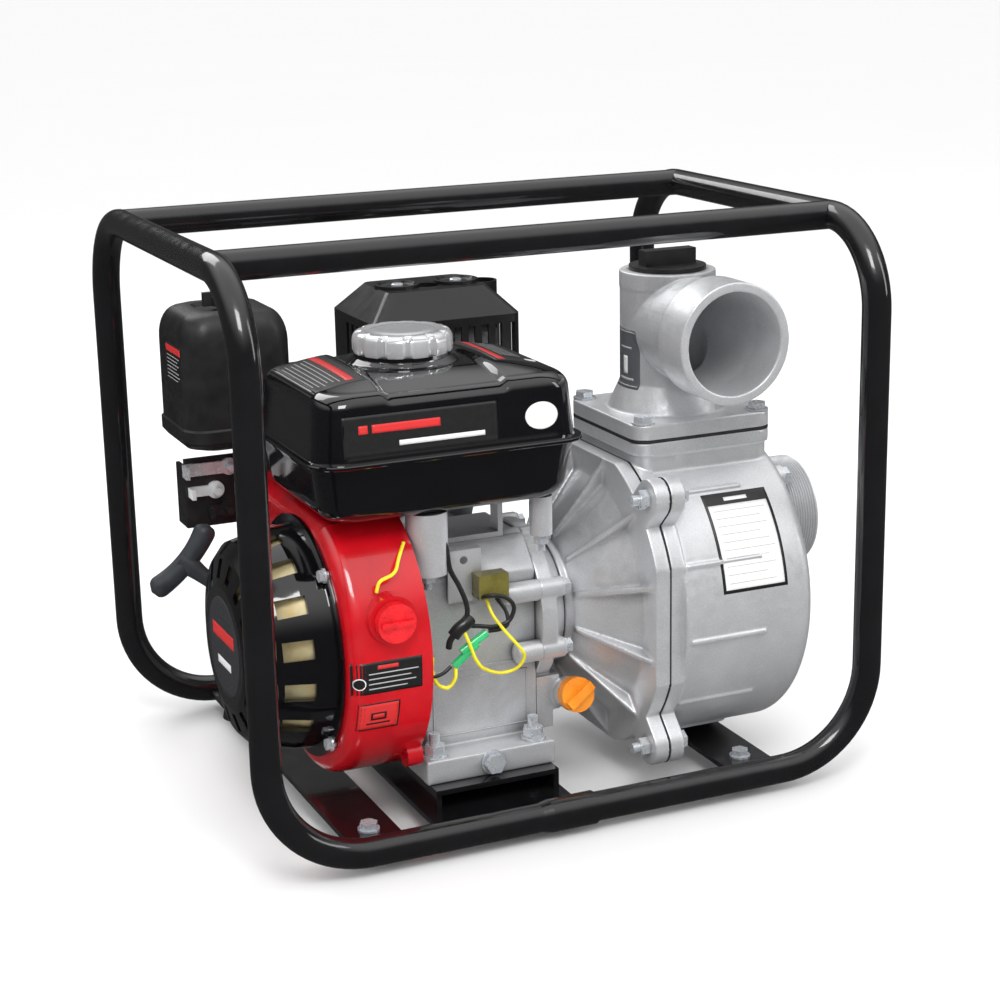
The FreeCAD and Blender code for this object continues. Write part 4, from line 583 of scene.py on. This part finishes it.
def bent_bar(name, path, widths, body, slot, replaces=(), count=28):
    """A rounded bar through points, with a half width at each, closed by domes."""
    spine = [Vector(point) for point in path]
    rings = []
    for index, (point, width) in enumerate(zip(spine, widths)):
        ahead = spine[min(index + 1, len(spine) - 1)] - spine[max(index - 1, 0)]
        ahead.normalize()
        side = ahead.cross(Vector((0.45, -0.66, 0.6))).normalized()
        other = side.cross(ahead)
        rings.append(circle(point, side, other, width, count))
    points, faces = loft(rings)
    return add_piece(name, points, faces, body, slot, replaces=replaces)


def make_grip():
    """The starter grip: a bar that swells at its ends, on a stem that runs down to the rope."""
    pull = Vector((-0.66, 0.45, 0.6)).normalized()
    along = Vector((0.7, 0, 0.714)).normalized()
    rope_low, rope_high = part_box("recoil_rope")
    rope_end = (rope_low + rope_high) / 2
    middle = rope_end + pull * 0.036
    path, widths = [], []
    for step in range(33):
        share = step / 32 * 2 - 1
        bow = pull * 0.006 * (share * share - 0.4)
        path.append(middle + along * share * 0.0345 + bow)
        end = math.sqrt(max(0.0, 1 - max(0.0, abs(share) - 0.78) ** 2 / 0.22 ** 2))
        widths.append(max(0.0006, (0.0082 + 0.0012 * share * share) * end))
    bent_bar("grip_bar", path, widths, "starter_grip", "grey_handle", ["recoil_handle"])
    stem = [middle - pull * reach for reach in (-0.002, 0.005, 0.010, 0.016, 0.022, 0.027, 0.0285)]
    bent_bar("grip_stem", stem, (0.009, 0.0088, 0.0078, 0.0068, 0.0062, 0.0058, 0.0044), "starter_grip",
             "grey_handle")


# ---------------------------------------------------------------- air cleaner and crankcase

def make_cleaner():
    """The air cleaner's cover: straight walls, a round shoulder and a shallow dish under the knob."""
    low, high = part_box("air_cleaner_cover")
    middle = (low + high) / 2
    half_x, half_y = (high.x - low.x) / 2, (high.y - low.y) / 2
    levels = [(0.004, low.z + 0.004), (0.0006, low.z), (0.0, low.z + 0.0008), (0.0, low.z + 0.010),
              (0.0014, low.z + 0.0115), (0.0016, high.z - 0.026)]
    for step in range(1, 9):
        angle = math.pi / 2 * step / 8
        levels.append((0.0016 + 0.013 * (1 - math.cos(angle)), high.z - 0.026 + 0.025 * math.sin(angle)))
    levels += [(0.017, high.z), (0.024, high.z), (0.0265, high.z - 0.003), (0.036, high.z - 0.0032)]
    rings = []
    for inset, z in levels:
        outline = rounded_outline(half_x - inset, half_y - inset, 0.019 - inset * 0.2, 200)
        rings.append([Vector((middle.x + p.x, middle.y + p.y, z)) for p in outline])
    points, faces = loft(rings, False, True)
    return add_piece("cleaner_shell", points, faces, "cleaner_lid", "black_plastic",
                     replaces=["air_cleaner_cover"])


def cast_pin(name, start, end, radius):
    """A cast boss along a line, with domed ends."""
    profile = [(0.0005, 0.0)]
    for step in range(1, 7):
        angle = math.pi / 2 * step / 6
        profile.append((radius * math.sin(angle), radius * 0.5 * (1 - math.cos(angle))))
    length = (Vector(end) - Vector(start)).length
    profile += [(radius, length * 0.5), (radius, length)]
    points, faces = loft(lathe(profile, start, Vector(end) - Vector(start), 40))
    return add_piece(name, points, faces, "base", "cast_aluminium")


def make_guard_dishes():
    """Two round dishes with bolt heads in the top of the muffler guard."""
    low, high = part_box("muffler_guard")
    middle = (low + high) / 2
    for number, shift in ((1, -0.026), (2, 0.026)):
        at = (middle.x + shift, middle.y - 0.004, high.z - 0.001)
        profile = [(0.0005, 0.0012), (0.012, 0.0012), (0.0145, 0.002), (0.0158, 0.0036), (0.0172, 0.004),
                   (0.0186, 0.0036), (0.019, 0.0)]
        points, faces = loft(lathe(profile, at, UP, 72))
        add_piece("guard_dish_%d" % number, points, faces, "base", "satin_black")
        profile = [(0.0005, 0.0038), (0.0042, 0.0038), (0.005, 0.0032), (0.005, 0.0)]
        points, faces = loft(lathe(profile, at, UP, 24))
        add_piece("guard_screw_%d" % number, points, faces, "base", "zinc_steel")


def make_case_details():
    """Bolt bosses that run back along the crankcase, and the raised border of its plain panel."""
    for number, angle in enumerate((110, 155, 200, 245), start=1):
        turn = math.radians(angle)
        y = CRANK.y + 0.062 * math.cos(turn)
        z = CRANK.z + 0.062 * math.sin(turn)
        length = 0.030 if number != 3 else 0.022
        cast_pin("case_boss_%d" % number, (-0.004 - length, y, z), (-0.004, y, z), 0.0082)
    face = -0.1126
    left, right, low, high, rib = -0.090, -0.012, 0.062, 0.106, 0.0011
    bars = ((left, low, right, low + rib), (left, high - rib, right, high), (left, low, left + rib, high),
            (right - rib, low, right, high), (left, high + 0.006, right + 0.004, high + 0.0085))
    points, faces = [], []
    for x0, z0, x1, z1 in bars:
        start = len(points)
        for y in (face + 0.003, face):
            points += [Vector((x0, y, z0)), Vector((x1, y, z0)), Vector((x1, y, z1)), Vector((x0, y, z1))]
        faces += [tuple(start + corner for corner in side) for side in
                  ((4, 5, 6, 7), (0, 1, 5, 4), (1, 2, 6, 5), (2, 3, 7, 6), (3, 0, 4, 7), (3, 2, 1, 0))]
    panel = add_piece("case_panel_border", points, faces, "base", "cast_aluminium")
    soften(panel, 0.35)


# ---------------------------------------------------------------- wiring

def smooth_path(points, steps=8):
    """A curve through points, in metres, from points in millimetres."""
    spine = [Vector(point) * MM for point in points]
    ends = [spine[0] * 2 - spine[1]] + spine + [spine[-1] * 2 - spine[-2]]
    path = []
    for index in range(1, len(ends) - 2):
        before, first, second, after = ends[index - 1:index + 3]
        for step in range(steps):
            t = step / steps
            path.append(0.5 * (2 * first + (second - before) * t
                               + (2 * before - 5 * first + 4 * second - after) * t * t
                               + (3 * first - before - 3 * second + after) * t ** 3))
    return path + [spine[-1]]


def add_wire(name, points, radius, slot):
    """A round lead along a smooth path."""
    path = smooth_path(points)
    rings = []
    side = (path[1] - path[0]).orthogonal().normalized()
    for index, point in enumerate(path):
        ahead = (path[min(index + 1, len(path) - 1)] - path[max(index - 1, 0)]).normalized()
        side = (side - ahead * side.dot(ahead)).normalized()
        other = ahead.cross(side)
        rings.append(circle(point, side, other, radius * MM, 12))
    points, faces = loft(rings)
    return add_piece(name, points, faces, "base", slot)


def make_wiring():
    """The loops of the oil alert's and the stop switch's leads, held by a dark sleeve."""
    add_wire("loom_loop", [(-57, -128, 173), (-50, -136, 176), (-39, -137, 173), (-33, -137, 165),
                           (-37, -137, 155), (-48, -137, 152), (-63, -138, 155), (-75, -138, 157)], 1.7,
             "black_wire")
    add_wire("loom_sleeve", [(-68, -136, 161), (-73, -138, 158), (-78, -138, 155), (-82, -137, 150)], 5.0,
             "black_wire")
    add_wire("loom_drop", [(-80, -138, 153), (-85, -138, 147), (-86, -137, 141)], 2.4,
             "black_wire")
    add_wire("loom_feed", [(-88, -128, 229), (-83, -130, 216), (-81, -131, 200), (-75, -132, 187),
                           (-71, -134, 176), (-70, -136, 168), (-72, -138, 160)], 1.9, "black_wire")
    add_wire("switch_lead", [(-139, -158, 162), (-136, -158, 156), (-127, -155, 149), (-117, -148, 144),
                             (-108, -141, 142), (-101, -137, 143)], 1.4, "black_wire")
    add_wire("yellow_loop", [(-54, -134, 118), (-60, -137, 122), (-66, -139, 131), (-70, -139, 142),
                             (-74, -138, 153)], 1.4, "yellow_wire")
    add_wire("yellow_drop", [(-99, -137, 136), (-100, -138, 126), (-96, -138, 115), (-88, -138, 111),
                             (-82, -138, 117), (-81, -137, 126)], 1.5, "yellow_wire")
    add_wire("black_drop", [(-100, -137, 136), (-104, -138, 129), (-100, -139, 122), (-92, -139, 123),
                            (-85, -138, 127)], 1.4, "black_wire")


# ---------------------------------------------------------------- labels

def label_tank(tank):
    """The panel and the blank disc on the tank's front, and the two notices on its top."""
    skin = Skin(tank)
    middle = (TANK_LOW + TANK_HIGH) / 2
    front = (middle.x - 0.018, TANK_LOW.y, 0.3095)
    patches = [(-66, -14.5, 52, 14.5, "black", 0, "box"),
               (-44, 1.5, 8, 7.5, "red", 1, "box"), (-54, 1.5, -47, 7.5, "red", 1, "box"),
               (-24, -9, 42, -5.4, "white", 1, "box")]
    add_label("tank_front_label", skin, front, FRONT, UP, patches, "black_gloss")
    disc = [(-13, -10, 13, 10, "white", 0, "round")]
    add_label("tank_blank_disc", skin, (TANK_HIGH.x - 0.038, TANK_LOW.y, 0.3095), FRONT, UP, disc,
              "black_gloss")
    left = [(-22, -58, 22, 40, "black", 0, "box"), (9, -52, 15, 34, "red", 1, "box")]
    for column in range(7):
        x = 5 - column * 3.6
        left.append((x - 0.35, -50 + 3 * (column % 3), x + 0.35, 30 - 4 * (column % 2), "grey", 1, "box"))
    add_label("tank_left_label", skin, (CAP_AXIS.x - 0.073, CAP_AXIS.y, 0.34), (0, 0, 1), (0, 1, 0), left,
              "black_gloss")
    right = [(-20, -46, 24, 40, "black", 0, "box"), (-16, -42, -10, 36, "red", 1, "box"),
             (8, -40, 17, -31, "white", 1, "round")]
    for column in range(5):
        x = -5 + column * 3.6
        right.append((x - 0.35, -24, x + 0.35, 32 - 4 * (column % 2), "grey", 1, "box"))
    add_label("tank_right_label", skin, (CAP_AXIS.x + 0.075, CAP_AXIS.y, 0.34), (0, 0, 1), (0, 1, 0), right,
              "black_gloss")


def label_housing():
    """The two notices on the fan housing."""
    skin = Skin(NODES["fan_housing"])
    upper = [(-27, -12, 27, 12, "black", 0, "box"), (-7, 6.4, 9, 9.2, "red", 1, "box")]
    upper += lines(-14, 24, 3.4, -8, 4, "grey", 1, 0.9)
    upper += [(-25, -8, -16, 1, "white", 1, "round"), (-24.2, -7.2, -16.8, 0.2, "black", 2, "round")]
    add_label("housing_upper_label", skin, (-0.1455, -0.163, 0.1385), FRONT, UP, upper, "red_paint")
    lower = [(-16, -11.5, 16, 11.5, "black", 0, "box"), (-14.8, -10.3, 14.8, 10.3, "red", 1, "box"),
             (-9, -6.5, 9, -5.1, "black", 2, "box"), (-6, -3, 6, 3.4, "black", 2, "box"),
             (-4.4, -1.6, 4.4, 2, "red", 3, "box")]
    add_label("housing_lower_label", skin, (-0.151, -0.160, 0.1075), FRONT, UP, lower, "red_paint")


def label_covers():
    """The labels of the pump casing, the air cleaner and the starter."""
    casing = Skin(NODES["pump_casing"])
    angle = math.radians(29)
    out = Vector((0, -math.cos(angle), math.sin(angle)))
    patches = [(-28, -39, 28, 39, "black", 0, "box"), (-25.5, -36.5, 25.5, 29, "white", 1, "box")]
    patches += lines(-22, 22, 24, -32, 10, "grey", 2, 0.5)
    patches += [(-10, 32, 10, 35, "white", 1, "box")]
    add_label("pump_label", casing, CRANK + Vector((0.150, 0, 0)) + out * 0.12, out, (0, 0.2, 1), patches,
              "cast_aluminium")
    cleaner = Skin(cleaner_object)
    patches = [(-21, -20, 21, 20, "black", 0, "box"), (-20, 13, 20, 18.5, "red", 1, "box")]
    patches += lines(-18, 17, 10, -8, 7, "grey", 1, 0.7)
    add_label("cleaner_label", cleaner, (-0.216, 0.108, 0.318), LEFT, UP, patches, "black_plastic",
              body="cleaner_lid")
    recoil = Skin(NODES["recoil_cover"])
    patches = [(-38, -38, 38, 38, "graphite", 0, "round"), (-26, 4, 26, 14, "red", 1, "box"),
               (-16, -16, 16, -10, "white", 1, "box")]
    add_label("starter_label", recoil, (-0.240, CRANK.y, CRANK.z), LEFT, UP, patches, "black_gloss")


def make_elbow_plate():
    """The dark plate on the neck of the outlet, with a flow arrow."""
    skin = Skin(NODES["discharge_elbow"])
    patches = [(-16, -23, 16, 23, "plate", 0, "box"), (-14.6, 20.6, 14.6, 21.4, "grey", 1, "box"),
               (-14.6, -21.4, 14.6, -20.6, "grey", 1, "box"), (-3, -12, 3, 2, "white", 1, "box"),
               (-8, 8, 8, 9.4, "grey", 1, "box"), (-10, -17, 10, -15, "grey", 1, "box")]
    left_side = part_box("discharge_elbow")[0].x
    add_label("outlet_plate", skin, (left_side + 0.010, -0.061, 0.326), LEFT, UP, patches,
              "cast_aluminium")


tank_object = make_tank()
cleaner_object = make_cleaner()
make_cap()
make_grip()
make_case_details()
make_guard_dishes()
make_wiring()
label_tank(tank_object)
label_housing()
label_covers()
make_elbow_plate()


# ---------------------------------------------------------------- stage, light and camera

def add_floor():
    """A wide pale floor that runs out past the view."""
    mesh = bpy.data.meshes.new("floor")
    reach = 40.0
    mesh.from_pydata([(-reach, -reach, 0), (reach, -reach, 0), (reach, reach, 0), (-reach, reach, 0)], [],
                     [(0, 1, 2, 3)])
    floor = bpy.data.objects.new("floor", mesh)
    bpy.context.scene.collection.objects.link(floor)
    pale = Finish("floor_white", roughness=0.7)
    patches = pale.between(pale.noise(0.6), 0.0, 1.0)
    pale.colour(pale.blend(patches, (0.93, 0.93, 0.93), (0.925, 0.925, 0.925)))
    mesh.materials.append(pale.material)
    floor.visible_glossy = False


def add_light(name, place, target, size, power, tall=None):
    """A soft rectangular lamp that looks at a point."""
    lamp = bpy.data.lights.new(name, "AREA")
    lamp.shape = "RECTANGLE"
    lamp.size = size
    lamp.size_y = tall or size
    lamp.energy = power
    obj = bpy.data.objects.new(name, lamp)
    bpy.context.scene.collection.objects.link(obj)
    obj.location = place
    obj.rotation_euler = (Vector(target) - Vector(place)).to_track_quat("-Z", "Y").to_euler()


def add_world(sky, gloss_low, gloss_high):
    """A white studio. Reflections see it dark round the sides and bright overhead."""
    world = bpy.data.worlds.new("studio")
    world.use_nodes = True
    tree = world.node_tree
    ray = tree.nodes.new("ShaderNodeLightPath")
    where = tree.nodes.new("ShaderNodeTexCoord")
    apart = tree.nodes.new("ShaderNodeSeparateXYZ")
    tree.links.new(where.outputs["Generated"], apart.inputs["Vector"])
    rise = tree.nodes.new("ShaderNodeMapRange")
    rise.interpolation_type = "SMOOTHSTEP"
    tree.links.new(apart.outputs["Z"], rise.inputs["Value"])
    spans = (("From Min", 0.30), ("From Max", 0.85), ("To Min", gloss_low), ("To Max", gloss_high))
    for key, value in spans:
        rise.inputs[key].default_value = value
    mixer = tree.nodes.new("ShaderNodeMix")
    mixer.inputs[2].default_value = sky
    tree.links.new(ray.outputs["Is Glossy Ray"], mixer.inputs[0])
    tree.links.new(rise.outputs["Result"], mixer.inputs[3])
    background = tree.nodes["Background"]
    background.inputs["Color"].default_value = (1.0, 1.0, 1.0, 1.0)
    tree.links.new(mixer.outputs[0], background.inputs["Strength"])
    bpy.context.scene.world = world


CAMERA_PLACE = Vector((-0.6378, -1.4912, 0.6564))
CAMERA_TURN = (-23.73, 15.42, -1.14)  # azimuth, height and roll in degrees
CAMERA_LENS = 75.8


def add_camera():
    """A camera placed where the object is seen from, three quarters from the starter side."""
    azimuth, elevation, roll = (math.radians(angle) for angle in CAMERA_TURN)
    back = Vector((math.cos(elevation) * math.sin(azimuth), -math.cos(elevation) * math.cos(azimuth),
                   math.sin(elevation)))
    right = Vector((math.cos(azimuth), math.sin(azimuth), 0))
    up = back.cross(right)
    tilted = right * math.cos(roll) + up * math.sin(roll)
    rows = Matrix((tilted, back.cross(tilted), back)).transposed()
    camera = bpy.data.cameras.new("camera")
    camera.lens = CAMERA_LENS
    obj = bpy.data.objects.new("camera", camera)
    bpy.context.scene.collection.objects.link(obj)
    obj.matrix_world = Matrix.Translation(CAMERA_PLACE) @ rows.to_4x4()
    bpy.context.scene.camera = obj


add_floor()
add_world(1.1, 0.05, 1.0)
add_light("key", (-0.6, -1.6, 2.2), (0, 0, 0.2), 0.9, 24)
add_light("fill", (1.8, -1.2, 1.2), (0, 0, 0.2), 0.5, 7, 1.4)
add_light("back", (-0.4, 1.8, 1.8), (0, 0, 0.2), 1.2, 12)
add_camera()
bpy.context.scene.view_settings.view_transform = "Standard"
